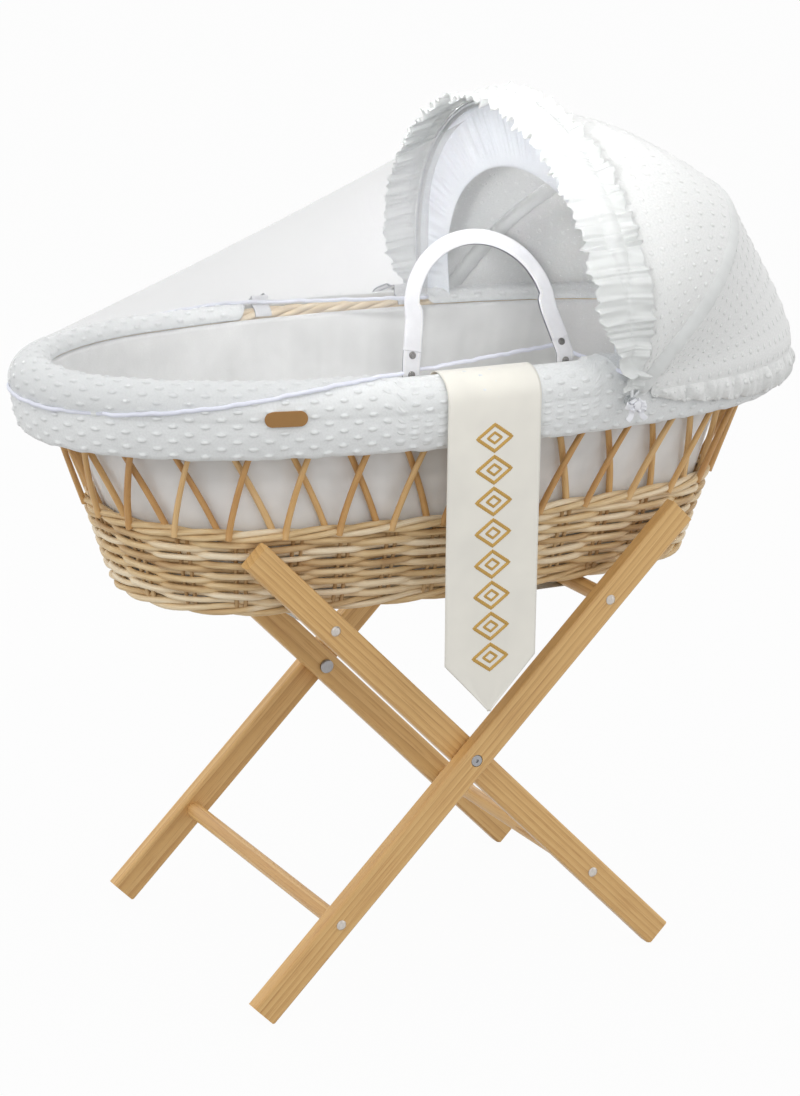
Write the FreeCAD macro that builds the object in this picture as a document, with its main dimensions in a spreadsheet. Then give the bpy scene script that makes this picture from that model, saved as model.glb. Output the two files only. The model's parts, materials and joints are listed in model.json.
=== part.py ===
"""Moses basket with a folding hood and mosquito net, standing on a folding X stand of pine.

Axes: +X runs from the foot end to the head end, -Y is the front, +Z is up.
The origin is on the floor, under the middle of the basket's rim. Lengths are in millimetres.
"""
import FreeCAD, Part
import Sketcher
import math
import os

from FreeCAD import Placement, Rotation, Vector

ACROSS = Vector(0, 1, 0)
UP = Vector(0, 0, 1)
ALONG = Vector(1, 0, 0)

doc = FreeCAD.newDocument("moses_basket_on_stand")

# ---------------------------------------------------------------------------
# Driving dimensions
# ---------------------------------------------------------------------------
SIZES = [
    # stand
    ("leg_length", 700, "length of every leg"),
    ("leg_width", 32, "leg section in the plane of the X"),
    ("leg_thickness", 18, "leg section across the stand"),
    ("leg_rounding", 3, "rounding of the long edges"),
    ("foot_flat", 3, "planed corner that each foot stands on"),
    ("leg_lean", 45, "angle of the legs from upright, in degrees"),
    ("stand_half_width", 202, "centre to the outer face of an outer leg"),
    ("leg_gap", 1, "space between an outer and an inner leg, held by the washer"),
    ("stand_shift", -22, "X of the pivot line"),
    ("rail_radius", 9, "round rails"),
    ("rail_reach", 225, "pivot to each rail, along the leg"),
    ("rail_socket", 8, "depth of the rail's socket in the leg"),
    ("rail_chamfer", 1.5, "chamfer at the rail's ends"),
    ("pilot_depth", 24, "depth of the screw's pilot hole in the rail"),
    ("screw_radius", 2, "shank of a rail screw"),
    ("screw_length", 30, "rail screw under its head"),
    ("screw_head_radius", 5.5, "domed head"),
    ("screw_head_height", 2.6, "domed head"),
    ("bolt_radius", 3, "pivot bolt"),
    ("bolt_head_radius", 6.5, "pivot bolt head"),
    ("bolt_head_height", 2.4, "pivot bolt head, sunk in the outer leg"),
    ("bolt_socket", 2.2, "circumradius of the hexagon socket"),
    ("bolt_socket_depth", 1.5, "hexagon socket"),
    ("nut_radius", 8, "sleeve nut's disc"),
    ("nut_height", 4, "sleeve nut's disc"),
    ("washer_radius", 9, "spacer washer between the legs"),
    ("web_width", 40, "webbing strap under the basket"),
    ("web_thickness", 1.6, "webbing strap"),
    ("web_spacing", 170, "between the middles of the two straps"),
    ("web_return", 45, "end turned back under the strap and sewn"),
    # clearances
    ("running_gap", 0.05, "radial clearance of pins and dowels"),
    ("seat_gap", 0.3, "between soft pieces and what they lie on"),
    # basket, woven part
    ("base_half_length", 325, "outline of the woven base"),
    ("base_half_width", 152, "outline of the woven base"),
    ("base_corner_radius", 130, "outline of the woven base"),
    ("base_side_turn", 9, "half turn of the base's side arcs, in degrees"),
    ("base_end_turn", 12, "half turn of the base's end arcs, in degrees"),
    ("base_shift", -10, "X of the middle of the base: the head end rakes out more"),
    ("base_thickness", 10, "woven base"),
    ("wale_radius", 7, "thick rows at the foot and the top of the weave"),
    ("weave_height", 93, "underside of the basket to the upper wale"),
    ("weave_flare", 28, "how far the woven wall leans out"),
    ("weave_thickness", 7, "woven wall at the middle of a row"),
    ("weave_rows", 8, "rows of weaving between the wales"),
    ("weave_bulge", 2.4, "how far a row stands out"),
    ("stake_radius", 3.7, "upright rods"),
    ("stake_pairs", 32, "crossed pairs of rods round the basket"),
    ("stake_foot_spread", 14, "between the two rods of a pair at the upper wale"),
    ("stake_top_spread", 24, "between the two rods of a cross under the border"),
    # basket, border and dressing
    ("rim_half_length", 425, "middle line of the border"),
    ("rim_half_width", 207, "middle line of the border"),
    ("rim_corner_radius", 280, "middle line of the border"),
    ("rim_side_turn", 14, "half turn of the rim's side arcs, in degrees"),
    ("rim_end_turn", 45, "half turn of the rim's end arcs, in degrees"),
    ("border_height", 242.5, "underside of the basket to the middle of the border"),
    ("border_radius", 9, "plaited border"),
    ("liner_thickness", 2.5, "cotton liner"),
    ("skirt_crest", 15, "padded cover over the border, from the border's middle"),
    ("skirt_roll", 27.6, "radius of the cover's outer roll"),
    ("skirt_drop", 62, "lower edge of the skirt under the border's middle"),
    ("skirt_hem_reach", 18, "skirt's lower edge, outward from the border's middle"),
    ("slot_half_length", 118, "opening in the cover for a handle"),
    ("slot_outer_lip", 1.5, "cover left outside the handle's hinge line"),
    ("mattress_thickness", 32, "foam mattress"),
    ("mattress_gap", 3, "mattress to liner"),
    ("badge_length", 44, "leather badge"),
    ("badge_height", 16, "leather badge"),
    ("badge_thickness", 1.6, "leather badge"),
    ("badge_place", -249, "X of the badge"),
    ("badge_drop", 18, "badge's middle under the border's middle"),
    ("sash_width", 108, "satin sash over the front of the rim"),
    ("sash_thickness", 1.4, "satin sash"),
    ("sash_place", -28, "X of the sash's middle"),
    ("sash_drop", 302, "border's middle down to the sash's corners"),
    ("sash_point", 56, "height of the sash's point"),
    ("sash_tuck", 36, "sash inside the basket"),
    # handles
    ("handle_half_span", 90, "between the middles of a handle's ends, halved"),
    ("front_handle_place", -18.5, "X of the front handle's middle"),
    ("back_handle_place", 0, "X of the back handle's middle"),
    ("handle_hinge_rise", 22, "border's middle up to the line where the strap bends"),
    ("handle_strap_width", 20, "flat leather end"),
    ("handle_strap_thickness", 2.4, "flat leather end"),
    ("handle_strap_length", 40.5, "hinge line to the bend where the grip starts"),
    ("bend_gap", 0.95, "between two leather pieces that meet at a bend"),
    ("bend_half_thickness", 0.3, "half thickness of the leather at a bend"),
    ("bend_taper", 3.4, "length over which the leather thins towards a bend"),
    ("handle_radius", 78, "middle line of the grip's arch"),
    ("handle_height", 126.5, "hinge line to the top of the grip's middle line"),
    ("grip_width", 17, "folded leather grip"),
    ("grip_thickness", 5, "folded leather grip"),
    ("handle_lean", 20.5, "upright handle leans in by this, in degrees"),
    ("handle_drape", 113.5, "hanging strap's turn from upright, in degrees"),
    ("snap_radius", 3.8, "press studs"),
    ("snap_height", 1.6, "press studs"),
    # hood
    ("hood_pivot_place", 134, "X of the hood's pivot line"),
    ("hood_pivot_drop", 29, "border's middle down to the pivot line"),
    ("hoop_radius", 2, "hoop wire"),
    ("hoop_eye_radius", 6, "flattened eye at a hoop's end"),
    ("hood_pin_radius", 2, "pivot pin"),
    ("hood_pin_head", 5, "pivot pin's head radius"),
    ("hood_pin_head_height", 1.8, "pivot pin's head"),
    ("tie_radius", 8, "knot of the ribbon that ties the pivot to the rim"),
    ("rear_hoop_height", 274, "pivot line to the crown of the rear hoop"),
    ("rear_hoop_leg", 100, "straight part of the rear hoop"),
    ("rear_hoop_shoulder", 170, "shoulder radius of the rear hoop"),
    ("rear_hoop_angle", 46.5, "rear hoop above the horizontal, in degrees"),
    ("front_hoop_height", 287, "pivot line to the crown of the front hoop"),
    ("front_hoop_leg", 70, "straight part of the front hoop"),
    ("front_hoop_shoulder", 205, "shoulder radius of the front hoop"),
    ("front_hoop_angle", 95.3, "front hoop above the horizontal, in degrees"),
    ("hood_cloth", 1.6, "thickness of the hood's quilted cloth"),
    ("binding_half_width", 9, "satin channel round the rear hoop"),
    ("binding_half_height", 4.5, "satin channel round the rear hoop"),
    ("binding_start", 32, "pivot line to the channel's end, along the hoop"),
    ("canopy_start", 24, "pivot line to the canopy's end, along the hoops"),
    ("ruffle_width", 42, "gathered frill on the front hoop"),
    ("ruffle_depth", 11, "how far the frill stands out"),
    ("ruffle_start", 26, "pivot line to the frill's end, along the hoop"),
    ("panel_start", 60, "where the back panel leaves the rear hoop's leg"),
    ("net_thickness", 1, "mosquito net"),
    ("net_start", 46, "where the net leaves the front hoop's leg"),
    ("net_waist_place", 92, "X of the net's narrow part, beside the handles"),
    ("net_waist_half_width", 144, "net at its narrow part"),
    ("net_waist_height", 242, "border's middle to the net's crown at its narrow part"),
    ("net_waist_leg", 112, "straight part of the net's narrow arch"),
    ("net_waist_shoulder", 108, "shoulder radius of the net's narrow arch"),
    ("net_crossing", -185, "X where the net's edge crosses the rim"),
    ("net_hang", 4, "net's hem under the border's middle, outside the foot end"),
]

sizes = doc.addObject("Spreadsheet::Sheet", "sizes")
for row, (alias, value, meaning) in enumerate(SIZES, start=1):
    sizes.set(f"A{row}", alias)
    sizes.set(f"B{row}", str(value))
    sizes.set(f"C{row}", meaning)
    sizes.setAlias(f"B{row}", alias)
doc.recompute()


def size(alias):
    """The value of one driving dimension."""
    return float(sizes.get(alias))


# ---------------------------------------------------------------------------
# Helpers for parametric bodies
# ---------------------------------------------------------------------------
PARTS = {}


def origin_plane(body, role):
    """One of the body's own origin planes, found by its role."""
    return next(f for f in body.Origin.OriginFeatures if f.Role == role)


def new_body(label):
    body = doc.addObject("PartDesign::Body", label)
    body.Label = label
    return body


def outline_sketch(body, role, name, corners):
    """A closed polygon on an origin plane; each corner is a pair of expressions on the sheet."""
    sketch = body.newObject("Sketcher::SketchObject", name)
    sketch.AttachmentSupport = (origin_plane(body, role), [""])
    sketch.MapMode = "FlatFace"
    count = len(corners)
    rough = []
    for i in range(count):
        turn = 2 * math.pi * i / count
        rough.append(Vector(10 * math.cos(turn), 10 * math.sin(turn), 0))
    for i in range(count):
        sketch.addGeometry(Part.LineSegment(rough[i], rough[(i + 1) % count]))
    for i in range(count):
        sketch.addConstraint(Sketcher.Constraint("Coincident", i, 2, (i + 1) % count, 1))
    for i, (across, up) in enumerate(corners):
        for kind, value, formula in (("DistanceX", rough[i].x, across), ("DistanceY", rough[i].y, up)):
            index = sketch.addConstraint(Sketcher.Constraint(kind, -1, 1, i, 1, value))
            sketch.setExpression(f"Constraints[{index}]", formula)
    return sketch


def circle_sketch(body, role, name, circles):
    """Circles on an origin plane; each is (across, up, radius) as expressions on the sheet."""
    sketch = body.newObject("Sketcher::SketchObject", name)
    sketch.AttachmentSupport = (origin_plane(body, role), [""])
    sketch.MapMode = "FlatFace"
    for i, (across, up, radius) in enumerate(circles):
        sketch.addGeometry(Part.Circle(Vector(1, 1 + 30 * i, 0), UP, 5))
        for kind, value, formula in (("DistanceX", 1, across), ("DistanceY", 1 + 30 * i, up)):
            index = sketch.addConstraint(Sketcher.Constraint(kind, -1, 1, i, 3, value))
            sketch.setExpression(f"Constraints[{index}]", formula)
        index = sketch.addConstraint(Sketcher.Constraint("Radius", i, 5))
        sketch.setExpression(f"Constraints[{index}]", radius)
    return sketch


def revolve_sketch(body, sketch):
    """A full turn about the sketch's vertical axis."""
    turned = body.newObject("PartDesign::Revolution", "turned")
    turned.Profile = sketch
    turned.ReferenceAxis = (sketch, ["V_Axis"])
    turned.Angle = 360
    doc.recompute()
    return turned


def cut_pocket(body, sketch, depth, reverse, through=False):
    """A pocket that must take material away; its direction is given and its effect compared."""
    before = body.Shape.Volume
    pocket = body.newObject("PartDesign::Pocket", "pocket")
    pocket.Profile = sketch
    if through:
        pocket.Type = "ThroughAll"
        pocket.Midplane = True
    else:
        pocket.setExpression("Length", depth)
        pocket.Reversed = reverse
    doc.recompute()
    if not body.Shape.Volume < before - 1:
        raise RuntimeError(f"{body.Label}: {sketch.Name} cuts nothing")
    return pocket


def edges_where(shape, test):
    """Names of the edges whose two ends satisfy a test."""
    names = []
    for i, edge in enumerate(shape.Edges, start=1):
        if len(edge.Vertexes) == 2 and test(edge.Vertexes[0].Point, edge.Vertexes[1].Point):
            names.append(f"Edge{i}")
    return names


def keep(label, thing, placement=None):
    """Registers a sub-part under its own name, at its place."""
    if placement is not None:
        thing.Placement = placement
    thing.Label = label
    PARTS[label] = thing
    return thing


def solid_feature(label, shape, placement=None):
    """A sub-part whose shape Part's own functions make."""
    feature = doc.addObject("Part::Feature", label)
    feature.Shape = shape
    return keep(label, feature, placement)


# ---------------------------------------------------------------------------
# Heights and reaches that follow from the driving dimensions
# ---------------------------------------------------------------------------
lean = math.radians(size("leg_lean"))
pivot_height = (
    size("leg_length") / 2 * math.cos(lean)
    + size("leg_width") / 2 * math.sin(lean)
    - size("foot_flat") * math.cos(lean)
)
outer_leg_middle = size("stand_half_width") - size("leg_thickness") / 2
inner_leg_middle = outer_leg_middle - size("leg_thickness") - size("leg_gap")
stand_x = size("stand_shift")
rail_rise = size("rail_reach") * math.cos(lean)
rail_run = size("rail_reach") * math.sin(lean)
web_top = pivot_height + rail_rise + size("rail_radius") + size("seat_gap") + size("web_thickness")
basket_bottom = web_top + size("seat_gap")
border_z = basket_bottom + size("border_height")
upper_wale_z = basket_bottom + size("weave_height")


# ---------------------------------------------------------------------------
# Stand: legs
# ---------------------------------------------------------------------------
def make_leg(label, lean_sign, side, middle, is_outer):
    """A leg stands upright in its own frame, with the pivot at the origin, and leans in its placement.

    lean_sign is +1 where the top leans to the head end. side is -1 at the front and +1 at the back.
    """
    body = new_body(label)
    foot = "+" if lean_sign > 0 else "-"
    other = "-" if lean_sign > 0 else "+"
    half = "sizes.leg_length / 2"
    wide = "sizes.leg_width / 2"
    outline = outline_sketch(body, "XZ_Plane", "outline", [
        (f"{other}{wide}", f"-{half}"),
        (f"{foot}({wide} - sizes.foot_flat)", f"-{half}"),
        (f"{foot}{wide}", f"-{half} + sizes.foot_flat"),
        (f"{foot}{wide}", half),
        (f"{other}{wide}", half),
    ])
    pad = body.newObject("PartDesign::Pad", "plank")
    pad.Profile = outline
    pad.setExpression("Length", "sizes.leg_thickness")
    pad.Midplane = True
    doc.recompute()

    rounded = body.newObject("PartDesign::Fillet", "soft_edges")
    long_edges = edges_where(
        pad.Shape,
        lambda a, b: abs(a.x - b.x) < 1e-6 and abs(a.y - b.y) < 1e-6 and abs(a.z - b.z) > size("leg_length") / 2,
    )
    rounded.Base = (pad, long_edges)
    rounded.setExpression("Radius", "sizes.leg_rounding")
    doc.recompute()

    pivot_hole = circle_sketch(body, "XZ_Plane", "pivot_hole", [
        ("0 mm", "0 mm", "sizes.bolt_radius + sizes.running_gap"),
    ])
    cut_pocket(body, pivot_hole, None, False, through=True)
    screw_holes = circle_sketch(body, "XZ_Plane", "screw_holes", [
        ("0 mm", "sizes.rail_reach", "sizes.screw_radius + sizes.running_gap"),
        ("0 mm", "-sizes.rail_reach", "sizes.screw_radius + sizes.running_gap"),
    ])
    cut_pocket(body, screw_holes, None, False, through=True)

    sockets = circle_sketch(body, "XZ_Plane", "rail_sockets", [
        ("0 mm", "sizes.rail_reach", "sizes.rail_radius + sizes.running_gap"),
        ("0 mm", "-sizes.rail_reach", "sizes.rail_radius + sizes.running_gap"),
    ])
    # the XZ plane's normal is -Y, so an inner face at +Y lies at a negative offset
    inner_sign = "+" if side > 0 else "-"
    sockets.setExpression("AttachmentOffset.Base.z", f"{inner_sign}sizes.leg_thickness / 2")
    cut_pocket(body, sockets, "sizes.rail_socket", side < 0)

    if is_outer:
        head_recess = circle_sketch(body, "XZ_Plane", "bolt_head_recess", [
            ("0 mm", "0 mm", "sizes.bolt_head_radius + sizes.seat_gap"),
        ])
        outer_sign = "-" if side > 0 else "+"
        head_recess.setExpression("AttachmentOffset.Base.z", f"{outer_sign}sizes.leg_thickness / 2")
        cut_pocket(body, head_recess, "sizes.bolt_head_height", side > 0)

    turn = Rotation(ACROSS, lean_sign * size("leg_lean"))
    return keep(label, body, Placement(Vector(stand_x, side * middle, pivot_height), turn))


for side, where in ((-1, "front"), (1, "back")):
    make_leg(f"outer_leg_{where}", 1, side, outer_leg_middle, True)
    make_leg(f"inner_leg_{where}", -1, side, inner_leg_middle, False)


# ---------------------------------------------------------------------------
# Stand: rails and their screws
# ---------------------------------------------------------------------------
def make_rail(label, frame_sign, end_sign, middle):
    """A dowel from socket to socket, with a pilot hole in each end for its screw."""
    body = new_body(label)
    if middle == outer_leg_middle:
        inner_face = "(sizes.stand_half_width - sizes.leg_thickness)"
    else:
        inner_face = "(sizes.stand_half_width - 2 * sizes.leg_thickness - sizes.leg_gap)"
    end = f"({inner_face} + sizes.rail_socket - sizes.running_gap)"
    pilot = "(sizes.screw_radius + sizes.running_gap)"
    corners = [
        ("0 mm", f"-{end} + sizes.pilot_depth"),
        (pilot, f"-{end} + sizes.pilot_depth"),
        (pilot, f"-{end}"),
        ("sizes.rail_radius - sizes.rail_chamfer", f"-{end}"),
        ("sizes.rail_radius", f"-{end} + sizes.rail_chamfer"),
        ("sizes.rail_radius", f"{end} - sizes.rail_chamfer"),
        ("sizes.rail_radius - sizes.rail_chamfer", end),
        (pilot, end),
        (pilot, f"{end} - sizes.pilot_depth"),
        ("0 mm", f"{end} - sizes.pilot_depth"),
    ]
    revolve_sketch(body, outline_sketch(body, "XZ_Plane", "half_section", corners))
    # the turned shape stands along Z; it is laid along Y between the legs
    place = Vector(stand_x + frame_sign * end_sign * rail_run, 0, pivot_height + end_sign * rail_rise)
    return keep(label, body, Placement(place, Rotation(ALONG, -90)))


make_rail("outer_upper_rail", 1, 1, outer_leg_middle)
make_rail("outer_lower_rail", 1, -1, outer_leg_middle)
make_rail("inner_upper_rail", -1, 1, inner_leg_middle)
make_rail("inner_lower_rail", -1, -1, inner_leg_middle)

# One domed screw, head at +Z: its copies are the screws of both frames.
screw_form = new_body("rail_screw_form")
revolve_sketch(screw_form, outline_sketch(screw_form, "XZ_Plane", "half_section", [
    ("0 mm", "-sizes.screw_length"),
    ("sizes.screw_radius / 2", "-sizes.screw_length"),
    ("sizes.screw_radius", "-sizes.screw_length + 2 * sizes.screw_radius"),
    ("sizes.screw_radius", "0 mm"),
    ("sizes.screw_head_radius", "0 mm"),
    ("sizes.screw_head_radius", "sizes.screw_head_height / 4"),
    ("sizes.screw_head_radius * 0.7", "sizes.screw_head_height * 0.8"),
    ("sizes.screw_head_radius * 0.3", "sizes.screw_head_height"),
    ("0 mm", "sizes.screw_head_height"),
]))


def copies(form, placements):
    """Separate copies of one form, as one group."""
    solids = []
    for placement in placements:
        solid = form.Shape.copy()
        solid.Placement = placement.multiply(solid.Placement)
        solids.append(solid)
    return Part.makeCompound(solids)


def screw_places(frame_sign, middle):
    """A screw at each end of both rails of one frame, with its head on the leg's outer face."""
    face = middle + size("leg_thickness") / 2 + 0.02
    places = []
    for end_sign in (-1, 1):
        for side in (-1, 1):
            point = Vector(stand_x + frame_sign * end_sign * rail_run, side * face, pivot_height + end_sign * rail_rise)
            places.append(Placement(point, Rotation(UP, Vector(0, side, 0))))
    return places


solid_feature("outer_rail_screws", copies(screw_form, screw_places(1, outer_leg_middle)))
solid_feature("inner_rail_screws", copies(screw_form, screw_places(-1, inner_leg_middle)))

# ---------------------------------------------------------------------------
# Stand: pivots. Bolt, washer and nut each have +Z pointing out of the stand.
# ---------------------------------------------------------------------------
through_legs = "(2 * sizes.leg_thickness + sizes.leg_gap)"
bolt_body = new_body("pivot_bolt_form")
revolve_sketch(bolt_body, outline_sketch(bolt_body, "XZ_Plane", "half_section", [
    ("0 mm", f"-{through_legs} - sizes.nut_height * 0.7"),
    ("sizes.bolt_radius - sizes.running_gap", f"-{through_legs} - sizes.nut_height * 0.7"),
    ("sizes.bolt_radius - sizes.running_gap", f"-{through_legs}"),
    ("sizes.bolt_radius", f"-{through_legs}"),
    ("sizes.bolt_radius", "-sizes.bolt_head_height"),
    ("sizes.bolt_head_radius", "-sizes.bolt_head_height"),
    ("sizes.bolt_head_radius", "-sizes.bolt_head_height / 4"),
    ("sizes.bolt_head_radius - sizes.bolt_head_height / 4", "0 mm"),
    ("0 mm", "0 mm"),
]))
hexagon = doc.addObject("Part::Prism", "bolt_hexagon")
hexagon.Polygon = 6
hexagon.setExpression("Circumradius", "sizes.bolt_socket")
hexagon.setExpression("Height", "sizes.bolt_socket_depth * 2")
hexagon.setExpression("Placement.Base.z", "-sizes.bolt_socket_depth")
bolt_form = doc.addObject("Part::Cut", "pivot_bolt_with_socket")
bolt_form.Base = bolt_body
bolt_form.Tool = hexagon

washer_form = new_body("pivot_washer_form")
revolve_sketch(washer_form, outline_sketch(washer_form, "XZ_Plane", "half_section", [
    ("sizes.bolt_radius + sizes.running_gap", "-sizes.leg_gap / 2 + sizes.running_gap"),
    ("sizes.washer_radius", "-sizes.leg_gap / 2 + sizes.running_gap"),
    ("sizes.washer_radius", "sizes.leg_gap / 2 - sizes.running_gap"),
    ("sizes.bolt_radius + sizes.running_gap", "sizes.leg_gap / 2 - sizes.running_gap"),
]))

nut_form = new_body("pivot_nut_form")
revolve_sketch(nut_form, outline_sketch(nut_form, "XZ_Plane", "half_section", [
    ("0 mm", "-sizes.nut_height"),
    ("sizes.nut_radius - sizes.nut_height / 4", "-sizes.nut_height"),
    ("sizes.nut_radius", "-sizes.nut_height * 0.75"),
    ("sizes.nut_radius", "0 mm"),
    ("sizes.bolt_radius", "0 mm"),
    ("sizes.bolt_radius", "-sizes.nut_height * 0.8"),
    ("0 mm", "-sizes.nut_height * 0.8"),
]))
doc.recompute()


def pivot_places(reach):
    """One placement on each side of the stand, on the pivot line, at a distance from the middle."""
    return [
        Placement(Vector(stand_x, side * reach, pivot_height), Rotation(UP, Vector(0, side, 0)))
        for side in (-1, 1)
    ]


outer_face = size("stand_half_width")
gap_middle = outer_face - size("leg_thickness") - size("leg_gap") / 2
inner_face = inner_leg_middle - size("leg_thickness") / 2
solid_feature("pivot_bolts", copies(bolt_form, pivot_places(outer_face)))
solid_feature("pivot_washers", copies(washer_form, pivot_places(gap_middle)))
solid_feature("pivot_nuts", copies(nut_form, pivot_places(inner_face - size("seat_gap") / 2)))


# ---------------------------------------------------------------------------
# Stand: webbing straps, which stop the legs from spreading and carry the basket
# ---------------------------------------------------------------------------
def ring_sector(inner, outer, start, turn, width):
    """Part of a tube about the Y axis, from an angle measured from +X towards +Z."""
    face = Part.makePolygon([
        Vector(inner, -width / 2, 0), Vector(outer, -width / 2, 0),
        Vector(outer, width / 2, 0), Vector(inner, width / 2, 0), Vector(inner, -width / 2, 0),
    ])
    sector = Part.Face(face).revolve(Vector(0, 0, 0), Vector(0, -1, 0), turn)
    sector.rotate(Vector(0, 0, 0), Vector(0, -1, 0), start)
    return sector


def make_web_strap():
    """A flat run over both upper rails; each end goes round its rail and is sewn back underneath."""
    inner = size("rail_radius") + size("seat_gap")
    outer = inner + size("web_thickness")
    width = size("web_width")
    top = Part.makeBox(2 * rail_run, width, size("web_thickness"), Vector(-rail_run, -width / 2, inner))
    strap = top
    for end_sign in (-1, 1):
        start = 90 if end_sign < 0 else -90
        wrap = ring_sector(inner, outer, start, 180, width)
        wrap.translate(Vector(end_sign * rail_run, 0, 0))
        length = size("web_return")
        corner = end_sign * rail_run - (length if end_sign > 0 else 0)
        back = Part.makeBox(length, width, size("web_thickness"), Vector(corner, -width / 2, -outer))
        strap = strap.fuse([wrap, back])
    return strap.removeSplitter()


web_strap = make_web_strap()
web_copies = []
for side in (-1, 1):
    moved = web_strap.copy()
    moved.translate(Vector(stand_x, side * size("web_spacing") / 2, pivot_height + rail_rise))
    web_copies.append(moved)
solid_feature("support_straps", Part.makeCompound(web_copies))


# ---------------------------------------------------------------------------
# Ovals of tangent arcs
# ---------------------------------------------------------------------------
class Oval:
    """An oval of eight tangent arcs: two long sides, two ends and four corners.

    The sides turn by side_turn and the ends by end_turn on each side of their middles; the radii of
    both follow from the half length, the half width and the corner radius.
    """

    def __init__(self, half_length, half_width, corner_radius, side_turn, end_turn, centre_x):
        tau = math.radians(side_turn)
        alpha = math.radians(end_turn)
        # corner centre reached from the side's centre and from the end's centre: two linear equations
        a11, a12 = math.sin(tau), 1 - math.cos(alpha)
        a21, a22 = math.cos(tau) - 1, -math.sin(alpha)
        b1 = half_length - corner_radius * math.cos(alpha) + corner_radius * math.sin(tau)
        b2 = corner_radius * (math.cos(tau) - math.sin(alpha)) - half_width
        det = a11 * a22 - a12 * a21
        self.side_radius = (b1 * a22 - a12 * b2) / det
        self.end_radius = (a11 * b2 - a21 * b1) / det
        self.corner_radius = corner_radius
        self.centre_x = centre_x
        self.side_y = half_width - self.side_radius
        self.end_x = half_length - self.end_radius
        self.corner_x = (self.side_radius - corner_radius) * math.sin(tau)
        self.corner_y = self.side_y + (self.side_radius - corner_radius) * math.cos(tau)
        self.side_turn = side_turn
        self.end_turn = end_turn

    def arcs(self, offset=0):
        """The eight arcs, anticlockwise from the head end: (centre, radius, first angle, last angle)."""
        end, side = self.end_turn, self.side_turn
        cx, cy = self.corner_x, self.corner_y
        quarter = [
            (self.end_x, 0, self.end_radius, -end, end),
            (cx, cy, self.corner_radius, end, 90 - side),
            (0, self.side_y, self.side_radius, 90 - side, 90 + side),
            (-cx, cy, self.corner_radius, 90 + side, 180 - end),
            (-self.end_x, 0, self.end_radius, 180 - end, 180 + end),
            (-cx, -cy, self.corner_radius, 180 + end, 270 - side),
            (0, -self.side_y, self.side_radius, 270 - side, 270 + side),
            (cx, -cy, self.corner_radius, 270 + side, 360 - end),
        ]
        return [
            (Vector(self.centre_x + x, y, 0), radius + offset, first, last)
            for x, y, radius, first, last in quarter
        ]

    def wire(self, height, offset=0):
        """The closed oval at a height, moved outward by an offset."""
        return Part.Wire([arc_edge(*arc, height) for arc in self.arcs(offset)])

    def points(self, height, offset, count):
        """Evenly spaced points on the oval, starting at the middle of the head end."""
        arcs = self.arcs(offset)
        centre, radius, first, last = arcs[0]
        halves = [(centre, radius, 0, last)] + arcs[1:] + [(centre, radius, first, 0)]
        wire = Part.Wire([arc_edge(*arc, height) for arc in halves])
        return wire.discretize(Number=count + 1)[:-1]

    def end_wire(self, sign, cut_x, height, offset=0):
        """The U round one end, as five arcs, from the front side at cut_x to the back side at cut_x.

        sign is +1 for the head end and -1 for the foot end.
        """
        arcs = self.arcs(offset)
        centre, radius, _, _ = arcs[2]
        side_angle = math.degrees(math.acos((cut_x - self.centre_x) / radius))
        if sign > 0:
            front = (arcs[6][0], radius, 360 - side_angle, arcs[6][3])
            back = (centre, radius, arcs[2][2], side_angle)
            order = [front, arcs[7], arcs[0], arcs[1], back]
            return [arc_edge(*arc, height) for arc in order]
        front = (arcs[6][0], radius, arcs[6][2], 360 - side_angle)
        back = (centre, radius, side_angle, arcs[2][3])
        order = [front, arcs[5], arcs[4], arcs[3], back]
        return [arc_edge(*arc, height, backwards=True) for arc in order]

    def half_width_at(self, x, offset=0):
        """Half width on the side arcs."""
        radius = self.side_radius + offset
        return self.side_y + math.sqrt(radius ** 2 - (x - self.centre_x) ** 2)

    def ring(self, section):
        """The solid that a section, drawn as edges of (outward, height), makes on its way round the oval.

        section is a function that is given the plane's own origin point and outward direction.
        """
        solids = []
        for centre, radius, first, last in self.arcs():
            turn = math.radians(first)
            outward = Vector(math.cos(turn), math.sin(turn), 0)
            face = Part.Face(section(centre + outward * radius, outward))
            solids.append(face.revolve(centre, UP, last - first))
        ring = solids[0].fuse(solids[1:])
        return ring.removeSplitter()


def arc_edge(centre, radius, first, last, height, backwards=False):
    """A horizontal arc between two angles in degrees."""
    def point(angle):
        turn = math.radians(angle)
        return centre + Vector(radius * math.cos(turn), radius * math.sin(turn), height)

    ends = (last, first) if backwards else (first, last)
    return Part.Arc(point(ends[0]), point((first + last) / 2), point(ends[1])).toShape()


def section_maker(draw):
    """Turns a drawing in (outward, height) into a wire at a place on an oval."""
    def section(origin, outward):
        def at(reach, height):
            return origin + outward * reach + UP * height
        return draw(at)
    return section


def through(*points):
    """An arc through three points."""
    return Part.Arc(*points).toShape()


def straight(a, b):
    return Part.LineSegment(a, b).toShape()


base_oval = Oval(
    size("base_half_length"), size("base_half_width"), size("base_corner_radius"),
    size("base_side_turn"), size("base_end_turn"), size("base_shift"),
)
rim_oval = Oval(
    size("rim_half_length"), size("rim_half_width"), size("rim_corner_radius"),
    size("rim_side_turn"), size("rim_end_turn"), 0,
)


def round_row(height, reach, radius):
    """A thick woven row, round in section."""
    def draw(at):
        return Part.Wire([
            through(at(reach + radius, height), at(reach, height + radius), at(reach - radius, height)),
            through(at(reach - radius, height), at(reach, height - radius), at(reach + radius, height)),
        ])
    return section_maker(draw)


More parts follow.
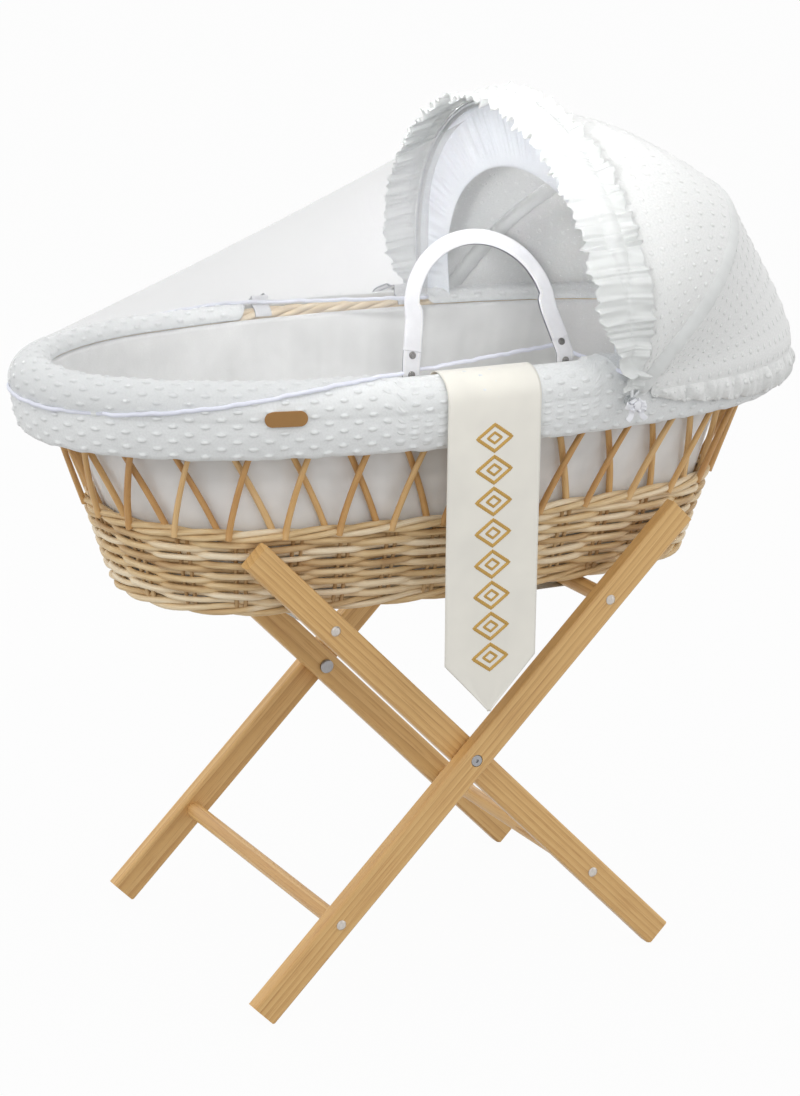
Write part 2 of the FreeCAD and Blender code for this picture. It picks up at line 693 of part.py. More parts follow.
# ---------------------------------------------------------------------------
# Basket: weave
# ---------------------------------------------------------------------------
wale = size("wale_radius")
lower_wale_z = basket_bottom + wale
lower_wale_reach = 3
plate_reach = lower_wale_reach - wale - size("seat_gap")
plate = Part.Face(base_oval.wire(basket_bottom + size("seat_gap"), plate_reach))
plate = plate.extrude(UP * (size("base_thickness") - size("seat_gap")))
solid_feature("basket_base", plate)
solid_feature("lower_wale", base_oval.ring(round_row(lower_wale_z, lower_wale_reach, wale)))

upper_wale_reach = lower_wale_reach + size("weave_flare")
solid_feature("upper_wale", base_oval.ring(round_row(upper_wale_z, upper_wale_reach, wale)))


def draw_weave(at):
    """The woven wall between the wales: its outer side bulges once for every row."""
    bottom = lower_wale_z + wale + size("seat_gap")
    top = upper_wale_z - wale - size("seat_gap")
    rows = int(size("weave_rows"))
    half = size("weave_thickness") / 2
    span = upper_wale_z - lower_wale_z

    def middle(height):
        return lower_wale_reach + size("weave_flare") * (height - lower_wale_z) / span

    edges = []
    for i in range(rows):
        low = bottom + (top - bottom) * i / rows
        high = bottom + (top - bottom) * (i + 1) / rows
        mid = (low + high) / 2
        edges.append(through(
            at(middle(low) + half, low),
            at(middle(mid) + half + size("weave_bulge"), mid),
            at(middle(high) + half, high),
        ))
    edges.append(straight(at(middle(top) + half, top), at(middle(top) - half, top)))
    edges.append(straight(at(middle(top) - half, top), at(middle(bottom) - half, bottom)))
    edges.append(straight(at(middle(bottom) - half, bottom), at(middle(bottom) + half, bottom)))
    return Part.Wire(edges)


solid_feature("woven_band", base_oval.ring(section_maker(draw_weave)))


# ---------------------------------------------------------------------------
# Basket: crossed stakes between the upper wale and the border, in two layers
# ---------------------------------------------------------------------------
def make_stakes(layer_sign, way):
    """One layer of rods, all leaning the same way. way is +1 for anticlockwise going up."""
    fine = 40
    pairs = int(size("stake_pairs"))
    layer = layer_sign * (size("stake_radius") + 5 * size("seat_gap"))
    foot_z = upper_wale_z + wale / 2
    top_z = border_z - size("border_radius") * 2 / 3
    feet = base_oval.points(foot_z, upper_wale_reach + layer, pairs * fine)
    tops = rim_oval.points(top_z, layer, pairs * fine)
    foot_shift = round(size("stake_foot_spread") / 2 / (feet[1] - feet[0]).Length)
    top_shift = round(size("stake_top_spread") / 2 / (tops[1] - tops[0]).Length)
    rods = []
    for k in range(pairs):
        foot = feet[(k * fine + way * foot_shift) % len(feet)]
        top = tops[(k * fine + way * (fine // 2 + top_shift)) % len(tops)]
        rods.append(Part.makeCylinder(size("stake_radius"), (top - foot).Length, foot, top - foot))
    return Part.makeCompound(rods)


solid_feature("stakes_outer", make_stakes(1, 1))
solid_feature("stakes_inner", make_stakes(-1, -1))
solid_feature("rim_border", rim_oval.ring(round_row(border_z, 0, size("border_radius"))))


# ---------------------------------------------------------------------------
# Basket: liner and mattress
# ---------------------------------------------------------------------------
stake_inner_reach = 2 * size("stake_radius") + 14 * size("seat_gap")


def liner_loft(inset, bottom_raise):
    """A tub of three ovals: on the base, inside the upper wale and inside the border."""
    floor = basket_bottom + size("base_thickness") + size("seat_gap") + bottom_raise
    wires = [
        base_oval.wire(floor, plate_reach - 1 - inset),
        base_oval.wire(upper_wale_z, upper_wale_reach - stake_inner_reach - inset),
        rim_oval.wire(border_z - 1, -stake_inner_reach - inset),
    ]
    return Part.makeLoft(wires, True, True)


liner_cloth = size("liner_thickness")
liner_hollow = liner_loft(liner_cloth, liner_cloth)
lid = Part.Face(rim_oval.wire(border_z - 1, -stake_inner_reach - liner_cloth)).extrude(UP * 2)
liner = liner_loft(0, 0).cut(liner_hollow.fuse(lid))
solid_feature("liner", liner)

mattress_floor = basket_bottom + size("base_thickness") + liner_cloth + 2 * size("seat_gap")
mattress_reach = plate_reach - 1 - liner_cloth - size("mattress_gap")
pad = Part.Face(base_oval.wire(mattress_floor, mattress_reach)).extrude(UP * size("mattress_thickness"))
pad_edges = [e for e in pad.Edges if abs(e.BoundBox.ZLength) < 1e-6]
solid_feature("mattress", pad.makeFillet(size("mattress_thickness") / 4, pad_edges))


# ---------------------------------------------------------------------------
# Basket: padded cover and skirt over the border
# ---------------------------------------------------------------------------
crest = size("skirt_crest")
roll = size("skirt_roll")
# the outer roll is tangent to the crest's top, so it is widest at its own centre's height
roll_centre = crest - roll
hem_reach = size("skirt_hem_reach")
cover_inside = size("border_radius") + 2 * size("seat_gap")
roll_end_turn = 20


def draw_skirt(at):
    """Over the border from the inside, out in a padded roll, and in again to the hem."""
    z = border_z
    turn = math.radians(roll_end_turn)
    roll_low = (roll * math.cos(turn), roll_centre - roll * math.sin(turn))
    roll_mid = (roll * math.cos(turn * 1.5), roll_centre + roll * math.sin(turn * 1.5))
    hem = -size("skirt_drop")
    belly = ((roll_low[0] + hem_reach) / 2 + 2, (roll_low[1] + hem) / 2)
    round_off = 3
    return Part.Wire([
        straight(at(-cover_inside, z), at(-crest, z)),
        through(at(-crest, z), at(-crest * 0.7071, z + crest * 0.7071), at(0, z + crest)),
        through(at(0, z + crest), at(roll_mid[0], z + roll_mid[1]), at(roll_low[0], z + roll_low[1])),
        through(at(roll_low[0], z + roll_low[1]), at(belly[0], z + belly[1]), at(hem_reach, z + hem)),
        straight(at(hem_reach, z + hem), at(hem_reach - round_off, z + hem - round_off / 2)),
        straight(at(hem_reach - round_off, z + hem - round_off / 2), at(cover_inside, z + hem)),
        straight(at(cover_inside, z + hem), at(cover_inside, z)),
        through(at(cover_inside, z), at(0, z + cover_inside), at(-cover_inside, z)),
    ])


handle_y = (rim_oval.half_width_at(size("handle_half_span")) + size("rim_half_width")) / 2 - 2
hinge_z = border_z + size("handle_hinge_rise")

skirt = rim_oval.ring(section_maker(draw_skirt))
slots = []
for side, place in ((-1, size("front_handle_place")), (1, size("back_handle_place"))):
    inner_y = handle_y - crest - 8
    outer_y = handle_y + size("slot_outer_lip") + size("handle_strap_thickness") / 2 + size("snap_height")
    low_y = min(side * inner_y, side * outer_y)
    slots.append(Part.makeBox(
        2 * size("slot_half_length"), outer_y - inner_y, crest * 2,
        Vector(place - size("slot_half_length"), low_y, border_z - 2),
    ))
solid_feature("skirt", skirt.cut(slots[0]).cut(slots[1]))


# ---------------------------------------------------------------------------
# Basket: badge and sash
# ---------------------------------------------------------------------------
def make_badge():
    """A plate with round ends, lying against the skirt's roll."""
    half = size("badge_length") / 2 - size("badge_height") / 2
    tall = size("badge_height") / 2
    outline = Part.Wire([
        straight(Vector(-half, 0, -tall), Vector(half, 0, -tall)),
        through(Vector(half, 0, -tall), Vector(half + tall, 0, 0), Vector(half, 0, tall)),
        straight(Vector(half, 0, tall), Vector(-half, 0, tall)),
        through(Vector(-half, 0, tall), Vector(-half - tall, 0, 0), Vector(-half, 0, -tall)),
    ])
    plate = Part.Face(outline).extrude(Vector(0, -size("badge_thickness"), 0))
    flat_edges = [e for e in plate.Edges if e.BoundBox.YMax < -size("badge_thickness") + 1e-6]
    return plate.makeFillet(size("badge_thickness") / 3, flat_edges)


badge_radius = rim_oval.side_radius + roll + size("seat_gap")
badge_turn = math.asin(size("badge_place") / badge_radius)
badge_point = Vector(
    badge_radius * math.sin(badge_turn),
    -(rim_oval.side_y + badge_radius * math.cos(badge_turn)),
    border_z - size("badge_drop"),
)
solid_feature("leather_badge", make_badge(), Placement(badge_point, Rotation(UP, math.degrees(badge_turn))))


def make_sash():
    """Hangs straight down outside the skirt, passes over the crest and is tucked inside."""
    x_low = size("sash_place") - size("sash_width") / 2
    edge_y = rim_oval.half_width_at(0)
    z = border_z
    # inside, it lies along the leaning liner
    liner_run = size("rim_half_width") - base_oval.half_width_at(0, upper_wale_reach)
    tuck_lean = size("sash_tuck") * liner_run / (border_z - upper_wale_z) + 3 * size("seat_gap")

    def at(reach, height):
        return Vector(x_low, -(edge_y + reach), z + height)

    def line(gap):
        """From the inside, over the crest and down the outside."""
        over = crest + gap
        out = roll + gap
        inside = over + edge_y - rim_oval.half_width_at(x_low)
        return [
            straight(at(-inside - tuck_lean, -size("sash_tuck")), at(-inside, 0)),
            through(at(-inside, 0), at(-inside * 0.7071, over * 0.7071), at(0, over)),
            through(at(0, over), at(out * 0.7071, roll_centre + out * 0.7071), at(out, roll_centre)),
            straight(at(out, roll_centre), at(out, -size("sash_drop"))),
        ]

    near = line(size("seat_gap"))
    far = line(size("seat_gap") + size("sash_thickness"))
    ends = [
        straight(near[0].Vertexes[0].Point, far[0].Vertexes[0].Point),
        straight(near[-1].Vertexes[1].Point, far[-1].Vertexes[1].Point),
    ]
    strip = Part.Face(Part.Wire(Part.__sortEdges__(near + far + ends)))
    band = strip.extrude(ALONG * size("sash_width"))
    out_y = -(edge_y + roll + size("seat_gap"))
    half = size("sash_width") / 2
    low = z - size("sash_drop")
    point = Part.Face(Part.makePolygon([
        Vector(x_low, out_y, low), Vector(x_low + 2 * half, out_y, low),
        Vector(x_low + half, out_y, low - size("sash_point")), Vector(x_low, out_y, low),
    ])).extrude(Vector(0, -size("sash_thickness"), 0))
    return band.fuse(point).removeSplitter()


solid_feature("sash", make_sash())


# ---------------------------------------------------------------------------
# Handles: fixed tabs round the border, straps that swing, and grips
# ---------------------------------------------------------------------------
def tapered_strap(levels):
    """A flat strap whose ends thin towards its bends; levels are (middle x, middle y, half thickness, z)."""
    half_width = size("handle_strap_width") / 2
    sections = []
    for x, y, half, z in levels:
        sections.append(Part.makePolygon([
            Vector(x - half_width, y - half, z), Vector(x + half_width, y - half, z),
            Vector(x + half_width, y + half, z), Vector(x - half_width, y + half, z),
            Vector(x - half_width, y - half, z),
        ]))
    return Part.makeLoft(sections, True, True)


def make_tab(place_x, side):
    """Leather from the inside of the border, over it, and up to the hinge line."""
    inner = size("border_radius") + 2 * size("seat_gap")
    outer = inner + size("handle_strap_thickness")
    turn = math.asin(place_x / rim_oval.side_radius)
    middle_y = rim_oval.half_width_at(place_x)
    # the wrap ends over the border, inside the thickness of the rising strap
    wrap_start = math.degrees(math.acos((handle_y - middle_y) / outer))
    wrap = ring_sector(inner, outer, wrap_start, 178 - wrap_start, size("handle_strap_width"))
    # the sector lies about Y; it is turned to lie about the border's own direction
    wrap.rotate(Vector(0, 0, 0), UP, 90)
    if side < 0:
        wrap = wrap.mirror(Vector(0, 0, 0), ACROSS)
    wrap.rotate(Vector(0, 0, 0), UP, -side * math.degrees(turn))
    wrap.translate(Vector(place_x, side * middle_y, border_z))
    y = side * handle_y
    rise = tapered_strap([
        (place_x, y, strap_half, border_z + inner),
        (place_x, y, strap_half, hinge_z - size("bend_taper")),
        (place_x, y, size("bend_half_thickness"), hinge_z - size("bend_gap") / 2),
    ])
    return wrap.fuse(rise).removeSplitter()


def snap_at(point, outward):
    """A press stud's domed cap."""
    cap = Part.makeCylinder(size("snap_radius"), size("snap_height"), point, outward)
    far = [e for e in cap.Edges if (e.CenterOfMass - point).dot(outward) > size("snap_height") * 0.9]
    return cap.makeFillet(size("snap_height") * 0.6, far)


strap_half = size("handle_strap_thickness") / 2
HANDLES = (("front", -1, size("front_handle_place")), ("back", 1, size("back_handle_place")))
tabs = []
tab_snaps = []
for name, side, place in HANDLES:
    for end in (-1, 1):
        x = place + end * size("handle_half_span")
        tabs.append(make_tab(x, side))
        stud = Vector(x, side * (handle_y + strap_half), hinge_z - size("snap_radius") - size("bend_taper") * 1.1)
        tab_snaps.append(snap_at(stud, Vector(0, side, 0)))
solid_feature("handle_tabs", Part.makeCompound(tabs))
solid_feature("tab_snaps", Part.makeCompound(tab_snaps))

# In its own frame a handle's hinge line is X, its strap goes up Z and its outer face is -Y.
strap_length = size("handle_strap_length")
arch_rise = size("handle_height") - size("handle_radius")


def strap_reach(height):
    """Half span of a strap's middle line at a height: the straps lean towards each other."""
    share = height / arch_rise
    return size("handle_half_span") + (size("handle_radius") - size("handle_half_span")) * share


def make_straps():
    """The two flat ends of one handle, from the hinge line to the bend."""
    thin = size("bend_half_thickness")
    low = size("bend_gap") / 2
    high = strap_length - size("bend_gap") / 2
    levels = [(low, thin), (size("bend_taper"), strap_half)]
    levels += [(strap_length - size("bend_taper"), strap_half), (high, thin)]
    solids = []
    for end in (-1, 1):
        solids.append(tapered_strap([(end * strap_reach(z), 0, half, z) for z, half in levels]))
    return Part.makeCompound(solids)


def make_grip():
    """The folded grip: two short legs and an arch, with softened edges. The bend line is its X axis."""
    half_width = size("grip_width") / 2
    radius = size("handle_radius")
    low = size("bend_gap") / 2
    centre_z = arch_rise - strap_length
    base = strap_reach(strap_length)
    outer, inner = radius + half_width, radius - half_width
    outline = Part.Wire([
        straight(Vector(-base - half_width, 0, low), Vector(-outer, 0, centre_z)),
        through(Vector(-outer, 0, centre_z), Vector(0, 0, centre_z + outer), Vector(outer, 0, centre_z)),
        straight(Vector(outer, 0, centre_z), Vector(base + half_width, 0, low)),
        straight(Vector(base + half_width, 0, low), Vector(base - half_width, 0, low)),
        straight(Vector(base - half_width, 0, low), Vector(inner, 0, centre_z)),
        through(Vector(inner, 0, centre_z), Vector(0, 0, centre_z + inner), Vector(-inner, 0, centre_z)),
        straight(Vector(-inner, 0, centre_z), Vector(-base + half_width, 0, low)),
        straight(Vector(-base + half_width, 0, low), Vector(-base - half_width, 0, low)),
    ])
    thick = size("grip_thickness")
    grip = Part.Face(outline).extrude(Vector(0, thick, 0))
    grip.translate(Vector(0, -thick / 2, 0))
    rims = [e for e in grip.Edges if e.BoundBox.YLength < 1e-6 and e.BoundBox.ZMax > low + 1]
    grip = grip.makeFillet(thick / 3, rims)
    # the legs thin towards the bend
    thin = size("bend_half_thickness")
    taper = size("bend_taper") * 1.5
    wedge = Part.Face(Part.makePolygon([
        Vector(-2 * base, -thin, 0), Vector(-2 * base, thin, 0), Vector(-2 * base, thick, taper * 2),
        Vector(-2 * base, thick, 2 * centre_z + outer), Vector(-2 * base, -thick, 2 * centre_z + outer),
        Vector(-2 * base, -thick, taper * 2), Vector(-2 * base, -thin, 0),
    ])).extrude(ALONG * (4 * base))
    return grip.common(wedge)


straps_form = make_straps()
grip_form = make_grip()
handle_snaps = []
for end in (-1, 1):
    height = size("snap_radius") + 8
    handle_snaps.append(snap_at(Vector(end * strap_reach(height), -strap_half, height), Vector(0, -1, 0)))
handle_snap_form = Part.makeCompound(handle_snaps)

for name, side, place in HANDLES:
    # turn from upright about X; the back handle is the front one turned half round about Z
    turn_down = size("handle_drape") if name == "back" else -size("handle_lean")
    grip_turn = 180 if name == "back" else -size("handle_lean")
    facing = Rotation(UP, 180) if side > 0 else Rotation()
    hinge = Placement(Vector(place, side * handle_y, hinge_z), facing)
    strap_place = hinge.multiply(Placement(Vector(), Rotation(ALONG, turn_down)))
    bend = strap_place.multVec(Vector(0, 0, strap_length))
    grip_place = Placement(bend, facing).multiply(Placement(Vector(), Rotation(ALONG, grip_turn)))
    solid_feature(f"handle_{name}_straps", straps_form, strap_place)
    solid_feature(f"handle_{name}_snaps", handle_snap_form, strap_place)
    solid_feature(f"handle_{name}_grip", grip_form, grip_place)


# ---------------------------------------------------------------------------
# Hood: hoops, pivots and ties
# ---------------------------------------------------------------------------
class Arch:
    """A hoop's middle line in its own plane: straight legs, shoulder arcs and a crown arc, all tangent.

    The plane's X is the normal, Y runs across the basket and Z goes up from the pivot line.
    """

    def __init__(self, half_width, height, leg, shoulder):
        self.half_width = half_width
        self.height = height
        self.leg = leg
        self.shoulder = shoulder
        inward = half_width - shoulder
        drop = height - shoulder
        self.crown_z = (drop ** 2 - inward ** 2 - leg ** 2) / (2 * (drop - leg))
        self.join = math.atan2(leg - self.crown_z, inward)

    def edges(self, start, offset=0, x=0):
        """Five edges from the front leg to the back leg, moved outward by an offset."""
        wide = self.half_width + offset
        radius = self.shoulder + offset
        inward = self.half_width - self.shoulder
        crown = self.height + offset

        def at(y, z):
            return Vector(x, y, z)

        def on_shoulder(side, angle):
            return at(side * (inward + radius * math.cos(angle)), self.leg + radius * math.sin(angle))

        edges = [straight(at(-wide, start), at(-wide, self.leg))]
        edges.append(through(at(-wide, self.leg), on_shoulder(-1, self.join / 2), on_shoulder(-1, self.join)))
        edges.append(through(on_shoulder(-1, self.join), at(0, crown), on_shoulder(1, self.join)))
        edges.append(through(on_shoulder(1, self.join), on_shoulder(1, self.join / 2), at(wide, self.leg)))
        edges.append(straight(at(wide, self.leg), at(wide, start)))
        return edges

    def strip(self, start, near, far, x=0):
        """The closed outline between two offsets, as a thin arch."""
        inner = self.edges(start, near, x)
        outer = self.edges(start, far, x)
        return closed_strip(inner, outer)


def closed_strip(inner, outer):
    """A closed wire out of two open chains that run the same way."""
    first = straight(outer[0].Vertexes[0].Point, inner[0].Vertexes[0].Point)
    last = straight(inner[-1].Vertexes[-1].Point, outer[-1].Vertexes[-1].Point)
    return Part.Wire(Part.__sortEdges__(outer + [last] + inner + [first]))


def hoop_place(angle):
    """Placement of a hoop's plane: its Z axis rises at the angle from the horizontal, to the head end."""
    pivot = Vector(size("hood_pivot_place"), 0, border_z - size("hood_pivot_drop"))
    return Placement(pivot, Rotation(ACROSS, 90 - angle))


hood_x = size("hood_pivot_place")
hood_z = border_z - size("hood_pivot_drop")
wire_radius = size("hoop_radius")
roll_side = roll * math.cos(math.radians(roll_end_turn))
tie_start = rim_oval.half_width_at(hood_x - size("tie_radius")) + roll_side + size("seat_gap")
tie_thickness = 5
rear_half_width = tie_start + tie_thickness + size("seat_gap") + wire_radius
front_half_width = rear_half_width + 2 * wire_radius + size("seat_gap")
rear_arch = Arch(rear_half_width, size("rear_hoop_height"), size("rear_hoop_leg"), size("rear_hoop_shoulder"))
front_arch = Arch(front_half_width, size("front_hoop_height"), size("front_hoop_leg"), size("front_hoop_shoulder"))
rear_place = hoop_place(size("rear_hoop_angle"))
front_place = hoop_place(size("front_hoop_angle"))


def tube_on(arch, start, radius):
    """A round wire along an arch."""
    path = Part.Wire(arch.edges(start))
    circle = Part.Wire(Part.Circle(Vector(0, -arch.half_width, start), UP, radius).toShape())
    return path.makePipeShell([circle], True, True)


def make_hoop(arch):
    """Wire with a flattened eye round the pivot pin at each end."""
    eye = size("hoop_eye_radius")
    hoop = tube_on(arch, eye - 1, wire_radius)
    for side in (-1, 1):
        middle = Vector(0, side * arch.half_width - wire_radius, 0)
        hoop = hoop.fuse(Part.makeCylinder(eye, 2 * wire_radius, middle, ACROSS))
    for side in (-1, 1):
        middle = Vector(0, side * arch.half_width - wire_radius - 1, 0)
        bore = size("hood_pin_radius") + size("running_gap")
        hoop = hoop.cut(Part.makeCylinder(bore, 2 * wire_radius + 2, middle, ACROSS))
    return hoop


solid_feature("hood_rear_hoop", make_hoop(rear_arch), rear_place)
solid_feature("hood_front_hoop", make_hoop(front_arch), front_place)

pins = []
ties = []
for side in (-1, 1):
    outward = Vector(0, side, 0)
    start = Vector(hood_x, side * tie_start, hood_z)
    knot = Part.makeCylinder(size("tie_radius"), tie_thickness, start, outward)
    rims = [e for e in knot.Edges if e.Curve.TypeId == "Part::GeomCircle"]
    knot = knot.makeFillet(tie_thickness / 3, rims)
    bore = size("hood_pin_radius") + size("running_gap")
    ties.append(knot.cut(Part.makeCylinder(bore, tie_thickness + 2, start - outward, outward)))
    reach = front_half_width + wire_radius + size("seat_gap")
    pin = Part.makeCylinder(size("hood_pin_radius"), reach - tie_start, start, outward)
    head_at = Vector(hood_x, side * reach, hood_z)
    head = Part.makeCylinder(size("hood_pin_head"), size("hood_pin_head_height"), head_at, outward)
    pins.append(pin.fuse(head).removeSplitter())
solid_feature("hood_pivot_pins", Part.makeCompound(pins))
solid_feature("hood_ties", Part.makeCompound(ties))


# ---------------------------------------------------------------------------
# Hood: cloth
# ---------------------------------------------------------------------------
def placed(wire, placement):
    moved = wire.copy()
    moved.Placement = placement.multiply(moved.Placement)
    return moved


cloth_near = wire_radius + 2 * size("seat_gap")
cloth_far = cloth_near + size("hood_cloth")
clear_of_binding = size("binding_half_width") + size("seat_gap")

canopy = Part.makeLoft([
    placed(front_arch.strip(size("canopy_start"), cloth_near, cloth_far), front_place),
    placed(rear_arch.strip(size("canopy_start"), cloth_near, cloth_far, -clear_of_binding), rear_place),
], True, True)
solid_feature("hood_canopy", canopy)

# the frill stands on the canopy's front edge
frill_near = cloth_far + size("seat_gap")
frill = Part.Face(front_arch.strip(size("ruffle_start"), frill_near, frill_near + size("ruffle_depth")))
frill = frill.extrude(ALONG * size("ruffle_width"))
frill.translate(ALONG * (-size("ruffle_width") / 2))
solid_feature("hood_ruffle", frill, front_place)

channel_half = size("binding_half_height")
channel = Part.Face(rear_arch.strip(size("binding_start"), -channel_half, channel_half))
channel = channel.extrude(ALONG * (2 * size("binding_half_width")))
channel.translate(ALONG * (-size("binding_half_width")))
channel = channel.cut(tube_on(rear_arch, size("hoop_eye_radius") - 1, wire_radius + size("seat_gap")))
solid_feature("hood_rear_binding", channel, rear_place)


def end_strip(sign, cut_x, height, near, far):
    """A closed strip round one end of the rim, between two offsets."""
    inner = rim_oval.end_wire(sign, cut_x, height, near)
    outer = rim_oval.end_wire(sign, cut_x, height, far)
    return closed_strip(inner, outer)


def on_roll(angle, clearance):
    """A place outside the skirt's roll, as (outward, height) from the border's middle."""
    turn = math.radians(angle)
    reach = roll + clearance
    return reach * math.cos(turn), roll_centre + reach * math.sin(turn)


def draped_strip(sign, cut_x, place, thickness):
    """A closed strip round one end of the rim, its inner line at a place beside the border."""
    reach, height = place
    return end_strip(sign, cut_x, border_z + height, reach, reach + thickness)


cloth = size("hood_cloth")
skirt_clear = 5 * size("seat_gap")
panel_cut = hood_x + size("panel_start")
panel_hem = (roll + skirt_clear - 2, -size("skirt_drop") * 0.8)
back_panel = Part.makeLoft([
    placed(rear_arch.strip(size("panel_start"), cloth_near, cloth_far, clear_of_binding), rear_place),
    draped_strip(1, panel_cut, on_roll(30, skirt_clear), cloth),
    draped_strip(1, panel_cut, on_roll(0, skirt_clear), cloth),
    draped_strip(1, panel_cut, panel_hem, cloth),
], True, True)
solid_feature("hood_back_panel", back_panel)

net = size("net_thickness")
waist = Arch(
    size("net_waist_half_width"), size("net_waist_height"), size("net_waist_leg"), size("net_waist_shoulder"),
)
waist_place = Placement(Vector(size("net_waist_place"), 0, border_z), Rotation())
net_rise = crest + 2
net_edge = -wire_radius - size("seat_gap")
net_hem_angle = math.degrees(math.asin((-size("net_hang") - roll_centre) / (roll + skirt_clear)))
net_hem_reach = on_roll(net_hem_angle, skirt_clear)[0]
mosquito_net = Part.makeLoft([
    placed(front_arch.strip(size("net_start"), net_edge - net, net_edge, -3), front_place),
    placed(waist.strip(net_rise, -net, 0), waist_place),
    draped_strip(-1, size("net_crossing"), on_roll(75, skirt_clear), net),
    draped_strip(-1, size("net_crossing") - 8, on_roll(45, skirt_clear), net),
    draped_strip(-1, size("net_crossing") - 16, (net_hem_reach, -size("net_hang")), net),
], True, True)
solid_feature("mosquito_net", mosquito_net)


# ---------------------------------------------------------------------------
# Checks and export
# ---------------------------------------------------------------------------
doc.recompute()
for thing in doc.Objects:
    if "Invalid" in thing.State or "Error" in thing.State:
        raise RuntimeError(f"{thing.Label} failed to build: {thing.State}")
for label, thing in PARTS.items():
    if thing.Shape.isNull() or not thing.Shape.isValid() or not thing.Shape.Solids:
        raise RuntimeError(f"{label} is not a valid solid")

os.makedirs("parts", exist_ok=True)
for label, thing in PARTS.items():
    thing.Shape.exportStep(f"parts/{label}.step")
    box = thing.Shape.BoundBox
    print(
        f"{label:22s} solids {len(thing.Shape.Solids):3d}  volume {thing.Shape.Volume / 1000:9.1f} cm3  "
        f"x {box.XMin:7.1f} {box.XMax:7.1f}  y {box.YMin:7.1f} {box.YMax:7.1f}  z {box.ZMin:7.1f} {box.ZMax:7.1f}"
    )
print(len(PARTS), "sub-parts written")
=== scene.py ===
# %% [markdown]
# # A moses basket on a folding stand
# A moses basket is a light bed for a newborn baby: a willow basket with a cotton lining, a padded skirt over its
# rim, a folding hood, a net against insects and two leather handles. This one rests on two webbing straps between
# the legs of a folding X stand of pine. The CAD model gives every place and size. This lesson dresses it: what is
# hard, such as the legs, keeps its CAD shape and gets a finish, and what is soft or woven gets a surface of its own.

# %% Load the CAD frame
import json
import math
import bpy
import numpy as np
from mathutils import Matrix, Vector

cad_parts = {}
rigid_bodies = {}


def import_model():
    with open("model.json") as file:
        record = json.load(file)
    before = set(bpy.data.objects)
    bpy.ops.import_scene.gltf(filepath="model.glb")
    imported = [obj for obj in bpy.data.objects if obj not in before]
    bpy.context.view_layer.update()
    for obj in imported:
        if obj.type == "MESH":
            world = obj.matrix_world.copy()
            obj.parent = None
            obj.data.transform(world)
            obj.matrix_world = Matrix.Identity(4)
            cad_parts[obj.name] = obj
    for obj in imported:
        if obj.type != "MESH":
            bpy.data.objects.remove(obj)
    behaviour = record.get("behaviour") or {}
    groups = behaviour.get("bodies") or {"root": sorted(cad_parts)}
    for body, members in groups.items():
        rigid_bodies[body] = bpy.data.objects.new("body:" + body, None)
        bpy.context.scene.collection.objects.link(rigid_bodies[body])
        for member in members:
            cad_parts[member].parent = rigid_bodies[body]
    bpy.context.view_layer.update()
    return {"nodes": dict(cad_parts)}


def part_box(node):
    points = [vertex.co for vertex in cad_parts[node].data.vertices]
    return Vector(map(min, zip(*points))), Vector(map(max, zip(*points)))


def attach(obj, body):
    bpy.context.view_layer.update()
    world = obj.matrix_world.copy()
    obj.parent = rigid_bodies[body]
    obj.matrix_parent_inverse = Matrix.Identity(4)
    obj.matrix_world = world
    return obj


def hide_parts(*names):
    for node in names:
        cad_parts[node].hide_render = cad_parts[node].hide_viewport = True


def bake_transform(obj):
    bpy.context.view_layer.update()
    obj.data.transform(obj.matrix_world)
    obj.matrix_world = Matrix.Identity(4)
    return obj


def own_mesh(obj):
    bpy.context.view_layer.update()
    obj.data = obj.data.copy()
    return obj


for leftover in list(bpy.data.objects):
    bpy.data.objects.remove(leftover)
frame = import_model()
mm = 0.001

# %% [markdown]
# Every place is read from the CAD nodes' boxes. The basket's outline at its rim and at its base is an oval of eight
# tangent arcs, and a hoop of the hood is an arch of straight legs, shoulder arcs and a crown arc, as in the CAD.

# %% Places from the CAD
def node_box(name):
    """Lowest and highest corner of a CAD node, as arrays."""
    low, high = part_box(name)
    return np.array(low), np.array(high)


def middle_and_radius(name):
    """Height of a round ring's middle line and the radius of its section."""
    low, high = node_box(name)
    return (low[2] + high[2]) / 2, (high[2] - low[2]) / 2


border_z, border_radius = middle_and_radius("rim_border")
upper_wale_z, wale_radius = middle_and_radius("upper_wale")
lower_wale_z, _ = middle_and_radius("lower_wale")
print("border", round(border_z, 4), "upper wale", round(upper_wale_z, 4), "lower wale", round(lower_wale_z, 4))


